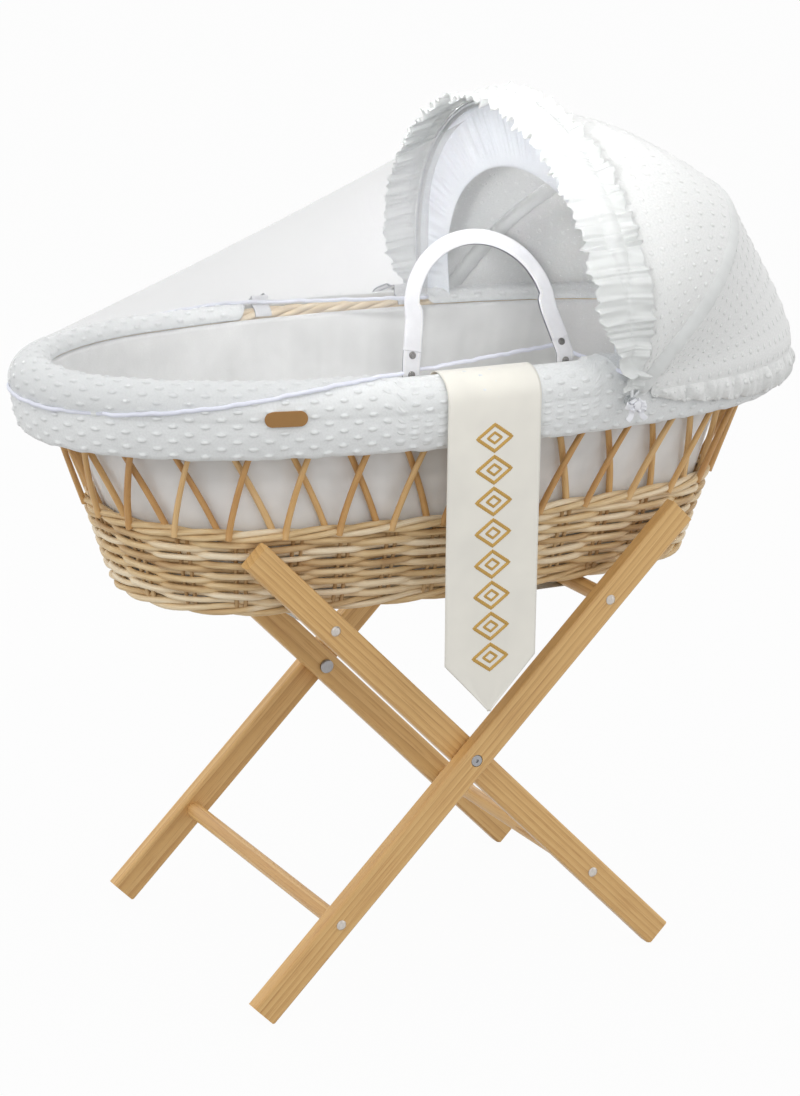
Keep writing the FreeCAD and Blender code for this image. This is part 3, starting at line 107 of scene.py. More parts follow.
class Oval:
    """Eight tangent arcs, by arc length: share 0 is the middle of the head end, 0.25 the back, 0.75 the front.

    The side and end radii solve two linear equations: the corner arc's centre is reached from the side's centre and
    from the end's centre. s and e are the half angles of a side arc and an end arc, and q is a quarter turn. Each
    arc is kept as centre x, centre y, radius, first angle and last angle.
    """

    def __init__(self, half_length, half_width, corner, side_turn, end_turn, centre_x):
        s, e, q = math.radians(side_turn), math.radians(end_turn), math.pi / 2
        matrix = [[math.sin(s), 1 - math.cos(e)], [math.cos(s) - 1, -math.sin(e)]]
        right = [
            half_length - corner * math.cos(e) + corner * math.sin(s),
            corner * (math.cos(s) - math.sin(e)) - half_width,
        ]
        side, end = np.linalg.solve(matrix, right)
        side_y, end_x = half_width - side, half_length - end
        x = (side - corner) * math.sin(s)
        y = side_y + (side - corner) * math.cos(s)
        arcs = [
            (end_x, 0, end, 0, e), (x, y, corner, e, q - s), (0, side_y, side, q - s, q + s),
            (-x, y, corner, q + s, 2 * q - e), (-end_x, 0, end, 2 * q - e, 2 * q + e),
            (-x, -y, corner, 2 * q + e, 3 * q - s), (0, -side_y, side, 3 * q - s, 3 * q + s),
            (x, -y, corner, 3 * q + s, 4 * q - e), (end_x, 0, end, 4 * q - e, 4 * q),
        ]
        self.arcs = np.array(arcs, dtype=float)
        self.arcs[:, 0] += centre_x

    def length(self, offset=0.0):
        """Sum of radius times angle."""
        return float(((self.arcs[:, 2] + offset) * (self.arcs[:, 4] - self.arcs[:, 3])).sum())

    def locate(self, share, even_at=0.0):
        """Number of the arc and part of it, at shares of the length of the oval moved outward by even_at."""
        lengths = (self.arcs[:, 2] + even_at) * (self.arcs[:, 4] - self.arcs[:, 3])
        ends = np.cumsum(lengths)
        way = np.mod(share, 1.0) * ends[-1]
        index = np.minimum(np.searchsorted(ends, way, side="right"), len(ends) - 1)
        return index, (way - (ends[index] - lengths[index])) / lengths[index]

    def place(self, index, part, offset=0.0):
        """A point is its arc's centre plus (radius + offset) times the direction of its angle."""
        arc = self.arcs[index]
        angle = arc[..., 3] + part * (arc[..., 4] - arc[..., 3])
        outward = np.stack([np.cos(angle), np.sin(angle)], axis=-1)
        return arc[..., :2] + outward * (arc[..., 2] + offset)[..., None], outward

    def at(self, share, offset=0.0, even_at=0.0):
        """Points and outward directions at shares of the length, spaced evenly on the oval moved by even_at."""
        return self.place(*self.locate(share, even_at), offset)

    def share_at(self, x, side):
        """Share of the point with this x, on the front (-1) or the back (+1)."""
        shares = np.linspace(0, 0.5, 4001) if side > 0 else np.linspace(1, 0.5, 4001)
        points, _ = self.at(shares)
        return float(shares[np.argmin(np.abs(points[:, 0] - x))])


high = node_box("rim_border")[1]
rim = Oval(high[0] - border_radius, high[1] - border_radius, corner=280 * mm, side_turn=14, end_turn=45, centre_x=0.0)
low, high = node_box("lower_wale")
wale_reach = 3 * mm
base = Oval(
    (high[0] - low[0]) / 2 - wale_radius - wale_reach, high[1] - wale_radius - wale_reach,
    corner=130 * mm, side_turn=9, end_turn=12, centre_x=(low[0] + high[0]) / 2,
)
flare = node_box("upper_wale")[1][1] - high[1]
print("rim length", round(rim.length(), 3), "base length", round(base.length(), 3), "flare", round(flare, 4))

# %% [markdown]
# All new surfaces are grids or tubes of points worked out with numpy. A few helpers make points, lines and waves: a
# sum of sines with phases from a seed is an even, repeatable kind of noise, which closes on itself round the basket.

# %% Points, lines and waves
def unit(vectors):
    """Vectors divided by their own length."""
    return vectors / np.maximum(np.linalg.norm(vectors, axis=-1, keepdims=True), 1e-12)


def points_at(x, y, z):
    """Points from three coordinates, each an array or one number for all."""
    return np.stack(np.broadcast_arrays(x, y, z), axis=-1).astype(float)


def raised(flat, z):
    """Flat points (x, y) brought to a height, one for all or one for each."""
    return points_at(flat[..., 0], flat[..., 1], z)


def turns_round(count, first=0.0):
    """Evenly spaced angles of a section's corners."""
    return (np.arange(count) + first) / count * 2 * math.pi


def line_through(points, count):
    """Evenly spaced points on a polyline, and their distances along it."""
    points = np.asarray(points, dtype=float)
    way = running(np.linalg.norm(np.diff(points, axis=0), axis=1))
    even = np.linspace(0, way[-1], count)
    return np.column_stack([np.interp(even, way, points[:, k]) for k in range(points.shape[1])]), even


def running(steps):
    """Distance from the start at each point, from the steps between them."""
    return np.concatenate([[0.0], np.cumsum(steps)])


def eased(path, times):
    """Rounds a line's corners: each point becomes (before + 2 * itself + after) / 4, again and again."""
    for _ in range(times):
        path[1:-1] = (path[:-2] + 2 * path[1:-1] + path[2:]) / 4
    return path


def smooth_noise(share, seed, waves):
    """Sum of sines with seeded phases, about -1 to 1; whole waves, so that it closes on itself."""
    rng = np.random.default_rng(seed)
    strengths = [1 / math.sqrt(count) for count in waves]
    total = sum(k * np.sin(2 * math.pi * (count * share + rng.random())) for k, count in zip(strengths, waves))
    return total / sum(strengths) * 1.6


def smooth_step(t):
    """0 below 0 and 1 above 1, with the rise between them rounded at both ends: t * t * (3 - 2 * t)."""
    t = np.clip(t, 0, 1)
    return t * t * (3 - 2 * t)


# %% [markdown]
# One helper turns a grid of points into a mesh with its own UV map in metres, so that a weave or a row of stitches can
# follow the surface. Another carries closed sections along lines. A number called tone, the same over one rod, lets
# the finish vary from rod to rod.

# %% Meshes from grids of points
def make_object(name, points, faces, uv=None, tone=None, smooth=True):
    """A mesh object from points, faces (index arrays of one width) and UVs for each corner."""
    mesh = bpy.data.meshes.new(name)
    mesh.from_pydata(points.tolist(), [], faces if isinstance(faces, list) else faces.tolist())
    if uv is not None:
        mesh.uv_layers.new(name="UVMap").data.foreach_set("uv", np.ascontiguousarray(uv, dtype=np.float32).ravel())
    if tone is not None:
        layer = mesh.attributes.new("tone", "FLOAT", "POINT")
        layer.data.foreach_set("value", np.ascontiguousarray(tone, dtype=np.float32).ravel())
    mesh.polygons.foreach_set("use_smooth", [smooth] * len(mesh.polygons))
    mesh.update()
    piece = bpy.data.objects.new(name, mesh)
    bpy.context.scene.collection.objects.link(piece)
    return piece


def grid_faces(rows, columns, close_rows, close_columns, flip=False):
    """Quads between neighbouring points of a grid, and for each corner its place (row, column), unwrapped."""
    i = np.arange(rows if close_rows else rows - 1)
    j = np.arange(columns if close_columns else columns - 1)
    i, j = np.meshgrid(i, j, indexing="ij")
    corners = [(i, j), (i + 1, j), (i + 1, j + 1), (i, j + 1)]
    if flip:
        corners = corners[::-1]
    rows_at = np.stack([c[0] for c in corners], axis=-1).reshape(-1, 4)
    columns_at = np.stack([c[1] for c in corners], axis=-1).reshape(-1, 4)
    return (rows_at % rows) * columns + columns_at % columns, rows_at, columns_at


def volume_sign(grid, close_rows, close_columns):
    """Sign of the sum of the triple products of every face's corners: below 0 where the faces point inwards."""
    faces, _, _ = grid_faces(*grid.shape[:2], close_rows, close_columns)
    corners = (grid.reshape(-1, 3) - grid.reshape(-1, 3).mean(axis=0))[faces]
    first = np.einsum("ij,ij->i", corners[:, 0], np.cross(corners[:, 1], corners[:, 2]))
    second = np.einsum("ij,ij->i", corners[:, 0], np.cross(corners[:, 2], corners[:, 3]))
    return np.sign((first + second).sum())


def sheet_object(name, grid, u, v, away_from=None):
    """A surface from a grid of points [rows, columns, 3]; u and v are lengths along rows and columns, in metres.

    Its faces point away from a given point. Without one it is closed both ways round, and they point outwards.
    """
    closed = away_from is None
    if closed:
        flip = volume_sign(grid, True, True) < 0
    else:
        normals = np.cross(np.gradient(grid, axis=0), np.gradient(grid, axis=1))
        flip = (normals * (grid - np.array(away_from))).sum() < 0
    faces, rows_at, columns_at = grid_faces(*grid.shape[:2], closed, closed, flip)
    return make_object(name, grid.reshape(-1, 3), faces, np.stack([u[rows_at], v[columns_at]], axis=-1))


def thicken(piece, thickness, offset=0.0):
    """Gives a sheet its thickness: around the drawn surface at offset 0, and in front of it at offset 1."""
    solid = piece.modifiers.new("thickness", "SOLIDIFY")
    solid.thickness, solid.offset = thickness, offset


# %% Meshes from sections carried along lines
def lofts_object(name, lofts):
    """Many closed sections carried along paths, as one mesh.

    lofts is a list of (grid [rows, columns, 3], ring, tone): columns close round the section, ring says that the
    rows close too, and otherwise both ends get a flat cap. tone is one number, one for each row or one for each point.
    """
    points, faces, uvs, tones, start = [], [], [], [], 0
    for grid, ring, tone in lofts:
        if volume_sign(grid, ring, True) < 0:
            grid = grid[:, ::-1]
        rows, columns = grid.shape[:2]
        quads, rows_at, columns_at = grid_faces(rows, columns, ring, True)
        along = running(np.linalg.norm(np.diff(grid[:, 0], axis=0, append=grid[:1, 0]), axis=1))
        section = grid[rows // 2]
        round_it = running(np.linalg.norm(np.diff(section, axis=0, append=section[:1]), axis=1))
        uvs.append(np.stack([along[rows_at], round_it[columns_at]], axis=-1).reshape(-1, 2))
        faces += (quads + start).tolist()
        if not ring:
            first = np.arange(columns) + start
            faces += [first[::-1].tolist(), (first + (rows - 1) * columns).tolist()]
            flat = np.stack([np.zeros(columns), round_it[:-1]], axis=-1)
            uvs += [flat[::-1], flat + [along[-2], 0.0]]
        points.append(grid.reshape(-1, 3))
        tone = np.asarray(tone, dtype=float)
        tones.append(np.broadcast_to(tone if tone.ndim != 1 else tone[:, None], (rows, columns)).reshape(-1))
        start += rows * columns
    return make_object(name, np.concatenate(points), faces, np.concatenate(uvs), np.concatenate(tones))


def rod(path, radius, closed=False, tone=0.5, sides=8):
    """A round rod for lofts_object: path + radius * (cos a * side + sin a * up), square to the path's direction."""
    along = unit(np.roll(path, -1, axis=0) - np.roll(path, 1, axis=0) if closed else np.gradient(path, axis=0))
    side = unit(np.cross(along, [0.0, 0.0, 1.0]))[:, None]
    up = np.cross(side, along[:, None])
    angle = turns_round(sides)[None, :, None]
    radius = np.broadcast_to(np.asarray(radius, dtype=float), len(path))[:, None, None]
    return path[:, None] + radius * (np.cos(angle) * side + np.sin(angle) * up), closed, tone


# %% [markdown]
# The basket's wall is a weave of thin willow rods. Upright rods stand in pairs, and each weaver passes outside one
# pair and inside the next; the row above does the opposite. A weaver is a rod whose distance from the wall's middle
# is a wave. One row holds several rods, end to end, and each is thicker at its butt than at its tip and has a colour
# of its own, from cream to tan. Thick twisted rows, called wales, hold the weave at its foot and at its top.

# %% Woven wall
stake_pairs = 32
wall_height = upper_wale_z - lower_wale_z


def wall_reach(height):
    """The wall leans out evenly: reach of its middle from the base's outline at a height."""
    return wale_reach + flare * (height - lower_wale_z) / wall_height


def weaver(row, height):
    """One closed row: reach = middle + swing * flattened wave, with a wave of two stake pairs."""
    rng = np.random.default_rng(100 + row)
    steps = stake_pairs * 14
    share = np.arange(steps) / steps
    wave = np.cos(math.pi * (stake_pairs * share + row))
    swing = 4.0 * mm * wave / np.sqrt(wave ** 2 + 0.3) * 1.14
    cuts = np.sort(rng.integers(0, stake_pairs // 2, 4) * 2 + row % 2 + 1) / stake_pairs
    piece = np.searchsorted(cuts, share) % len(cuts)
    start = cuts[(piece - 1) % len(cuts)]
    along = np.mod(share - start, 1.0)
    radius = (3.9 - 1.4 * along + rng.uniform(-0.2, 0.2, len(cuts))[piece]) * mm
    z = height + 0.7 * mm * smooth_noise(share, row, (5, 9, 21)) + 0.5 * mm * np.sin(math.pi * stake_pairs * share)
    points, _ = base.at(share, wall_reach(z) + swing, wall_reach(height))
    tone = rng.uniform(0.15, 0.95, len(cuts))[piece]
    return rod(raised(points, z), np.maximum(radius, 2.7 * mm), True, tone)


weaver_rows = 12
weave_low, weave_high = lower_wale_z + wale_radius, upper_wale_z - wale_radius
row_heights = weave_low + (np.arange(weaver_rows) + 0.5) * (weave_high - weave_low) / weaver_rows
band_tubes = [weaver(row, height) for row, height in enumerate(row_heights)]

foot_spread, top_spread = 14 * mm, 80 * mm
upright_radius = 2.3 * mm
z = np.linspace(lower_wale_z - 4 * mm, upper_wale_z, 5)
for pair in range(stake_pairs):
    for side in (-1, 1):
        share = pair / stake_pairs + side * foot_spread * 0.36 / base.length(wall_reach(upper_wale_z))
        points, _ = base.at(np.full(5, share), wall_reach(z))
        band_tubes.append(rod(raised(points, z), upright_radius, False, 0.1 + 0.02 * (pair % 9), 6))
woven_wall = lofts_object("woven_wall", band_tubes)
print("woven wall", len(woven_wall.data.polygons), "faces")


# %% Wales and border
def twisted_row(oval, reach, height, strands, turns, helix, radius, seed):
    """Strands twisted round a line: reach + helix * cos(turn), height + helix * sin(turn).

    The turns in one round end a whole number of strands further on, so one long path is all the strands.
    """
    rng = np.random.default_rng(seed)
    steps = int(turns * 14)
    share = np.arange(steps * strands) / steps
    turn = 2 * math.pi * turns * share
    points, _ = oval.at(share, reach + helix * np.cos(turn), reach)
    tone = rng.uniform(0.3, 0.95, 5 * strands + 1)[np.floor(share * 5).astype(int)]
    swell = radius * (1 + 0.06 * smooth_noise(share / strands, seed, (7, 19, 31)))
    return rod(raised(points, height + helix * np.sin(turn)), swell, True, tone, 9)


thirds = stake_pairs / 3
foot_wale, top_wale, plaited_border = (
    lofts_object(name, [twisted_row(*row)]) for name, *row in (
        ("foot_wale", base, wale_reach, lower_wale_z, 3, thirds, 3.9 * mm, 3.3 * mm, 11),
        ("top_wale", base, wale_reach + flare, upper_wale_z, 3, thirds, 3.9 * mm, 3.3 * mm, 12),
        ("plaited_border", rim, 0.0, border_z, 4, 18.25, 4.9 * mm, 4.0 * mm, 13),
    )
)

# %% [markdown]
# The basket's bottom is woven too: thin rods go across, over and under long sticks.

# %% Woven bottom
def woven_bottom():
    """Sticks along X and weavers along Y: a weaver's height is a wave that changes sign at each stick."""
    low, high = node_box("basket_base")
    middle = (low[2] + high[2]) / 2
    radius = 2.5 * mm
    outline, _ = base.at(np.linspace(0, 1, 2000), -4.5 * mm)
    lofts = []
    sticks = np.linspace(-118 * mm, 118 * mm, 7)
    for y in sticks:
        near = outline[np.abs(outline[:, 1] - y) < 1.5 * mm]
        x = np.linspace(near[:, 0].min() + 3 * mm, near[:, 0].max() - 3 * mm, 12)
        lofts.append(rod(points_at(x, y, middle), radius, False, 0.35, 6))
    rng = np.random.default_rng(5)
    for k, x in enumerate(np.arange(outline[:, 0].min() + 5 * mm, outline[:, 0].max() - 4 * mm, 5.6 * mm)):
        near = outline[np.abs(outline[:, 0] - x) < 2 * mm]
        reach_y = near[:, 1].max() - 3 * mm
        y = np.linspace(-reach_y, reach_y, 45)
        z = middle + 2.4 * mm * np.cos(math.pi * (y / (sticks[1] - sticks[0]) + k))
        lofts.append(rod(points_at(x, y, z), radius, False, rng.uniform(0.2, 0.9), 6))
    return lofts_object("woven_bottom", lofts)


woven_base = woven_bottom()

# %% [markdown]
# Between the weave and the border the upright rods cross. The rods of a pair part above the top wale: one leans one
# way in the outer layer, the other the other way in the inner layer, and each crosses the rods of its neighbours
# under the skirt's hem. A living rod isn't quite straight: it leaves its foot steeply and then bends over.

# %% Crossed stakes
def crossed_rods(name, way):
    """A rod keeps to the wall: at height share t it lies on the line between the two ovals, at reach layer.

    The way round the ovals from foot to top is the height's share to the power 1.15. The outer layer leans one way (1)
    and the inner layer the other (-1).
    """
    rng = np.random.default_rng(20 + way)
    layer = way * 5.0 * mm
    foot_z, top_z = upper_wale_z - 3 * mm, border_z - 4 * mm
    foot_reach = wall_reach(upper_wale_z) + layer
    lofts = []
    for k in range(stake_pairs):
        foot_share = k / stake_pairs + way * foot_spread / 2 / base.length(foot_reach)
        top_share = (k + way * 0.5) / stake_pairs + way * top_spread / 2 / rim.length(layer)
        t = np.linspace(0, 1, 14)
        share = foot_share + (top_share - foot_share) * (t ** 1.15 + 0.02 * rng.normal() * np.sin(math.pi * t))
        foot, _ = base.at(share, foot_reach, foot_reach)
        top, _ = rim.at(share, layer, layer)
        points = foot + (top - foot) * t[:, None]
        z = foot_z + (top_z - foot_z) * t
        radius = (3.6 - 0.7 * t + 0.2 * rng.normal()) * mm
        lofts.append(rod(raised(points, z), radius, False, rng.uniform(0.1, 0.9), 10))
    return lofts_object(name, lofts)


outer_rods = crossed_rods("crossed_rods_outer", 1)
inner_rods = crossed_rods("crossed_rods_inner", -1)
basket_weave = {
    woven_wall: "woven_band", foot_wale: "lower_wale", top_wale: "upper_wale", plaited_border: "rim_border",
    woven_base: "basket_base", outer_rods: "stakes_outer", inner_rods: "stakes_inner",
}
print("woven pieces", sum(len(piece.data.polygons) for piece in basket_weave), "faces")

# %% [markdown]
# The lining is a loose cotton bag between the border and the bottom. Its wall is drawn between the rim's oval and the
# base's oval, in small upright gathers that go only inwards, so that it stays clear of the rods. The mattress lies in
# it: a foam pad with a crowned top in a fitted cover.

# %% Lining and mattress
def disc_rings(outline, count):
    """Rings that shrink from an outline to its middle; the last is small enough to close with one face."""
    middle = outline.mean(axis=0)
    shares = np.linspace(1, 0.03, count)
    return middle + (outline - middle) * shares[:, None, None]


def bag_object(name, rings, close_first=False):
    """Closed rings [rows, columns, 3] as a surface whose last ring, and if asked its first, is closed by one face."""
    rows, columns = rings.shape[:2]
    faces, rows_at, columns_at = grid_faces(rows, columns, False, True)
    across = np.linalg.norm(rings[0] - np.roll(rings[0], 1, axis=0), axis=1).mean()
    down = running(np.linalg.norm(np.diff(rings[:, 0], axis=0), axis=1))
    uv = np.stack([columns_at * across, down[rows_at]], axis=-1)
    ring = np.arange(columns)
    caps = [(ring + (rows - 1) * columns)[::-1].tolist()] + ([ring.tolist()] if close_first else [])
    faces = faces.tolist() + caps
    if volume_sign(rings, False, True) < 0:
        faces = [face[::-1] for face in faces]
        uv = uv[:, ::-1]
    flat = np.zeros((len(caps) * columns, 2))
    return make_object(name, rings.reshape(-1, 3), faces, np.concatenate([uv.reshape(-1, 2), flat]))


gap = 0.3 * mm
stake_radius = 3.7 * mm
stake_room = 2 * stake_radius + 14 * gap
base_floor = node_box("basket_base")[1][2]


def lining_rings(columns=640):
    """Wall: a straight line between the two ovals, less the gathers, which grow from nothing at its ends."""
    share = np.arange(columns) / columns
    index, part = rim.locate(share)
    top, out = rim.place(index, part, -stake_room)
    foot, _ = base.place(index, part, wale_reach + flare - stake_room)
    floor, _ = base.place(index, part, wale_reach - wale_radius - gap - 1 * mm)
    gathers = 0.5 + 0.5 * smooth_noise(share, 31, (23, 41, 67, 121))
    rings = []
    for t in np.linspace(0, 1, 26):
        pull = 1.9 * mm * gathers * (0.35 + 0.65 * math.sin(math.pi * t)) + 0.3 * mm
        wall = top + (foot - top) * t - out * pull[:, None]
        rings.append(raised(wall, border_z - 1.5 * mm + (upper_wale_z - border_z) * t))
    for t in np.linspace(0, 1, 12)[1:]:
        pull = 1.6 * mm * gathers * (1 - t) + 0.6 * mm
        wall = foot + (floor - foot) * t - out * pull[:, None]
        rings.append(raised(wall, upper_wale_z + (base_floor + gap - upper_wale_z) * t))
    return np.array(rings + list(disc_rings(rings[-1], 14)[1:]))


lining = bag_object("cotton_lining", lining_rings())
thicken(lining, 1.4 * mm, 1.0)


def mattress_rings(columns=320):
    """Bottom, rounded side and crowned top: the rings' reach and height follow a rounded box's outline."""
    low, high = node_box("mattress")
    share = np.arange(columns) / columns
    reach = high[1] - base.at(np.array([0.25]))[0][0, 1]
    edge = 9 * mm
    rings = []
    floor, top = low[2] + 0.2 * mm, high[2] - 1.5 * mm
    outline, _ = base.at(share, reach - edge, reach)
    rings += list(disc_rings(raised(outline, floor), 10)[::-1])
    for turn in np.linspace(-math.pi / 2, math.pi / 2, 15)[1:]:
        outline, _ = base.at(share, reach - edge + edge * math.cos(turn), reach)
        bend = floor + edge if turn < 0 else top - edge
        rings.append(raised(outline, bend + edge * math.sin(turn)))
    crown = list(disc_rings(rings[-1], 22)[1:])
    for t, ring in zip(np.linspace(1, 0, 22)[1:], crown):
        ring[:, 2] += 3.0 * mm * (1 - t ** 2) + 0.5 * mm * np.sin(ring[:, 0] * 41) * np.cos(ring[:, 1] * 53)
    return np.array(rings + crown)


mattress = bag_object("mattress_pad", mattress_rings(), close_first=True)
print("lining", len(lining.data.polygons), "mattress", len(mattress.data.polygons))


# %% [markdown]
# The skirt is a quilted cover of dotted plush with a soft filling. It goes over the border, out in a fat roll, and in
# again to a hem. Its surface is a closed profile carried round the rim: outside it, over the crest, down the roll to
# the hem; and back up on the inside, close to the border. Where a handle comes through, the cover has an opening, so
# there the profile starts further out. The dots are small raised ovals in staggered rows, drawn into the surface.

# %% Profile of the skirt
skirt_low, skirt_high = node_box("skirt")
crest = skirt_high[2] - border_z
roll = skirt_high[1] - node_box("rim_border")[1][1] + border_radius
roll_middle = crest - roll
skirt_drop = border_z - skirt_low[2]
hem_reach = 18 * mm
cover_inside = border_radius + 2 * gap
roll_end = -math.radians(20)
print("crest", round(crest, 4), "roll", round(roll, 4), "drop", round(skirt_drop, 4))
crest_way = crest * math.pi / 2
roll_way = roll * (math.pi / 2 - roll_end)
roll_foot = np.array([roll * math.cos(roll_end), roll_middle + roll * math.sin(roll_end)])
hem = np.array([hem_reach, -skirt_drop + 1 * mm])
hem_way = np.linalg.norm(hem - roll_foot)
skirt_way = crest_way + roll_way + hem_way
print("skirt, inner edge to hem", round(float(skirt_way), 4))


def skirt_outline(way):
    """Outer line for way in metres from the inner edge: quarter of the crest, the roll, and a long bend to the hem."""
    first = way / crest
    second = math.pi / 2 - (way - crest_way) / roll
    third = np.clip((way - crest_way - roll_way) / hem_way, 0, 1)
    bulge = 2.6 * mm * np.sin(math.pi * third)
    reach = np.where(way < crest_way, -crest * np.cos(first), roll * np.cos(second))
    height = np.where(way < crest_way, crest * np.sin(first), roll_middle + roll * np.sin(second))
    on_hem = way > crest_way + roll_way
    reach = np.where(on_hem, roll_foot[0] + (hem[0] - roll_foot[0]) * third + bulge, reach)
    height = np.where(on_hem, roll_foot[1] + (hem[1] - roll_foot[1]) * third, height)
    return reach, height


dot_columns, dot_rows = 32 * mm, 8 * mm
skirt_dot, hood_dot = (5.0 * mm, 2.6 * mm), (3.4 * mm, 2.4 * mm)


def dots(u, v, half_u, half_v):
    """Staggered raised ovals: (1 - (u/a)^2 - (v/b)^2)^0.7 inside each oval, and 0 between them."""
    row = np.round(v / dot_rows)
    shift = np.mod(row, 2) * 0.5
    across = (u / dot_columns - shift - np.round(u / dot_columns - shift)) * dot_columns
    up = v - row * dot_rows
    return np.clip(1 - (across / half_u) ** 2 - (up / half_v) ** 2, 0, 1) ** 0.7


# %% Skirt
handle_places = {}
for side, name in ((-1, "front"), (1, "back")):
    low, high = node_box(f"handle_{name}_snaps")
    handle_places[side] = (low[0] + high[0]) / 2
half_span = 90 * mm
hinge_y = rim.at(np.array([0.25, rim.share_at(half_span, 1)]))[0][:, 1].mean() - 2 * mm
print("handle hinges at y", round(float(hinge_y), 5))
slot_half, slot_edge, slot_lip = 118 * mm, 24 * mm, 3.8 * mm


def slot_share(points):
    """1 inside a handle's opening, 0 outside it, with a smooth edge."""
    share = np.zeros(len(points))
    for side, place in handle_places.items():
        inside = (slot_half + slot_edge / 3 - np.abs(points[:, 0] - place)) / slot_edge
        share = np.where(points[:, 1] * side > 0, np.maximum(share, inside), share)
    return smooth_step(share)


def skirt_grid(columns=880, outer_rows=86, inner_rows=12):
    """Outer line and inner line at every place round the rim, both starting at the opening's lip where there is one.

    The outer line is pushed out along its own normal by slow puffs, ripples that grow towards the hem, and the dots.
    """
    share = np.arange(columns) / columns
    rim_points, out = rim.at(share)
    slot = slot_share(rim_points)
    lip_reach = hinge_y + slot_lip - np.abs(rim_points[:, 1])
    lip_reach = lip_reach / np.maximum(np.abs(out[:, 1]), 0.5)
    lip_way = crest_way + roll * np.arcsin(np.clip(lip_reach / roll, 0, 0.9))
    start = slot * lip_way
    t = np.linspace(0, 1, outer_rows)[:, None]
    way = start + (skirt_way - start) * t
    reach, height = skirt_outline(way)
    u = (share * rim.length(roll))[None, :]
    sway = smooth_noise(share, 41, (9, 17, 29))[None, :]
    ripple = smooth_noise(share, 42, (37, 53, 71, 97))[None, :]
    low = np.clip((way - 62 * mm) / (50 * mm), 0, 1)
    puff = 0.9 * mm * sway * np.sin(math.pi * np.clip(way / skirt_way, 0, 1)) + 1.3 * mm * ripple * low ** 2
    edge = np.clip((way - start) / (6 * mm), 0, 1) * np.clip((skirt_way - way) / (4 * mm), 0, 1)
    puff = puff - 1.4 * mm * (1 - edge) + 1.9 * mm * dots(u, way, *skirt_dot) * edge
    slope_r, slope_h = np.gradient(reach, axis=0), np.gradient(height, axis=0)
    size = np.maximum(np.hypot(slope_r, slope_h), 1e-9)
    reach = reach - puff * slope_h / size
    height = height + puff * slope_r / size + 1.6 * mm * ripple * low ** 2
    up = np.linspace(0, 1, inner_rows)[:, None]
    lip_turn = np.arccos(np.clip(lip_reach / cover_inside, -1, 1))
    end_turn = math.pi + (np.clip(lip_turn, 0, 0.9) - math.pi) * slot
    turn = np.clip(up * 1.6 - 0.6, 0, 1) * end_turn
    straight = np.clip(1 - up * 1.6 / 0.6, 0, 1)
    low_reach = cover_inside + (hem_reach - cover_inside - 4 * mm) * straight ** 3
    inner_reach = np.where(turn > 0, cover_inside * np.cos(turn), low_reach)
    inner_height = np.where(turn > 0, cover_inside * np.sin(turn), -(skirt_drop - 2.5 * mm) * straight)
    reach = np.concatenate([reach, inner_reach])
    height = np.concatenate([height, inner_height])
    grid = raised(rim_points[None] + out[None] * reach[..., None], border_z + height)
    v = np.concatenate([np.linspace(0, skirt_way, outer_rows), skirt_way + np.linspace(0.01, 0.08, inner_rows + 1)])
    return grid.transpose(1, 0, 2), np.linspace(0, rim.length(roll), columns + 1), v


grid, u, v = skirt_grid()
skirt = sheet_object("plush_skirt", grid, u, v)
print("skirt", len(skirt.data.polygons), "faces", [round(c, 3) for c in skirt.dimensions])


# %% [markdown]
# The sash is a satin band that hangs over the front of the rim. One end is tucked inside the basket, and the other
# ends in a point. It is a sheet: a line seen from the side, carried across its width. A row of lozenges in gold thread
# runs down its middle: raised strips of satin stitch.

# %% Sash
sash_low, sash_high = node_box("sash")
sash_low[2] += 12 * mm  # its point hangs a little higher than the node's
sash_width = sash_high[0] - sash_low[0]
sash_middle = (sash_high[0] + sash_low[0]) / 2
sash_point = 56 * mm
sash_crest, sash_roll = crest + gap + 0.7 * mm, roll + gap + 0.7 * mm
edge_y = -rim.at(np.array([0.75]))[0][0, 1]


def sash_line():
    """Reach from the border's middle and height: up the lining, over the crest, round the roll and straight down."""
    points = [(-sash_crest - 14.5 * mm, -36 * mm)]
    points += [(sash_crest * math.cos(a), sash_crest * math.sin(a)) for a in np.linspace(math.pi, math.pi / 2, 14)]
    points += [(sash_roll * math.cos(a), roll_middle + sash_roll * math.sin(a))
               for a in np.linspace(math.pi / 2, 0, 18)[1:]]
    points += [(sash_roll, sash_low[2] - border_z)]
    return line_through(points, 190)


def sash_wave(across, below):
    """How far the hanging part swings out: small waves that grow with the depth below the border."""
    down = np.clip((below - 30 * mm) / (330 * mm), 0, 1)
    wave = 1.4 * mm * np.sin(across * 2.2 + 5 * down) * down + 0.7 * mm * np.sin(across * 5 + 9 * down) * down
    return np.maximum(wave, -0.2 * mm)


def sash_grid(columns=34):
    """The line carried across; below the corners the sides close in to a point."""
    line, way = sash_line()
    across = np.linspace(-1, 1, columns)
    height = border_z + line[:, 1][:, None]
    x = sash_middle + across[None] * sash_width / 2 * np.clip((height - sash_low[2]) / sash_point, 0.02, 1)
    reach = line[:, 0][:, None] + sash_wave(across, -line[:, 1][:, None])
    return points_at(x, -(edge_y + reach), height), way, across * sash_width / 2


grid, u, v = sash_grid()
sash = sheet_object("satin_sash", grid, u, v, away_from=(sash_middle, 0.0, border_z - 0.1))
thicken(sash, 1.0 * mm)


def on_sash(x, height, lift):
    """A point of the hanging part, a little in front of it."""
    turn = np.clip((height - border_z - roll_middle) / sash_roll, 0, 0.98)
    wave = sash_wave((x - sash_middle) / (sash_width / 2), border_z - height)
    return points_at(x, -(edge_y + sash_roll * np.sqrt(1 - turn ** 2) + wave + lift), height)


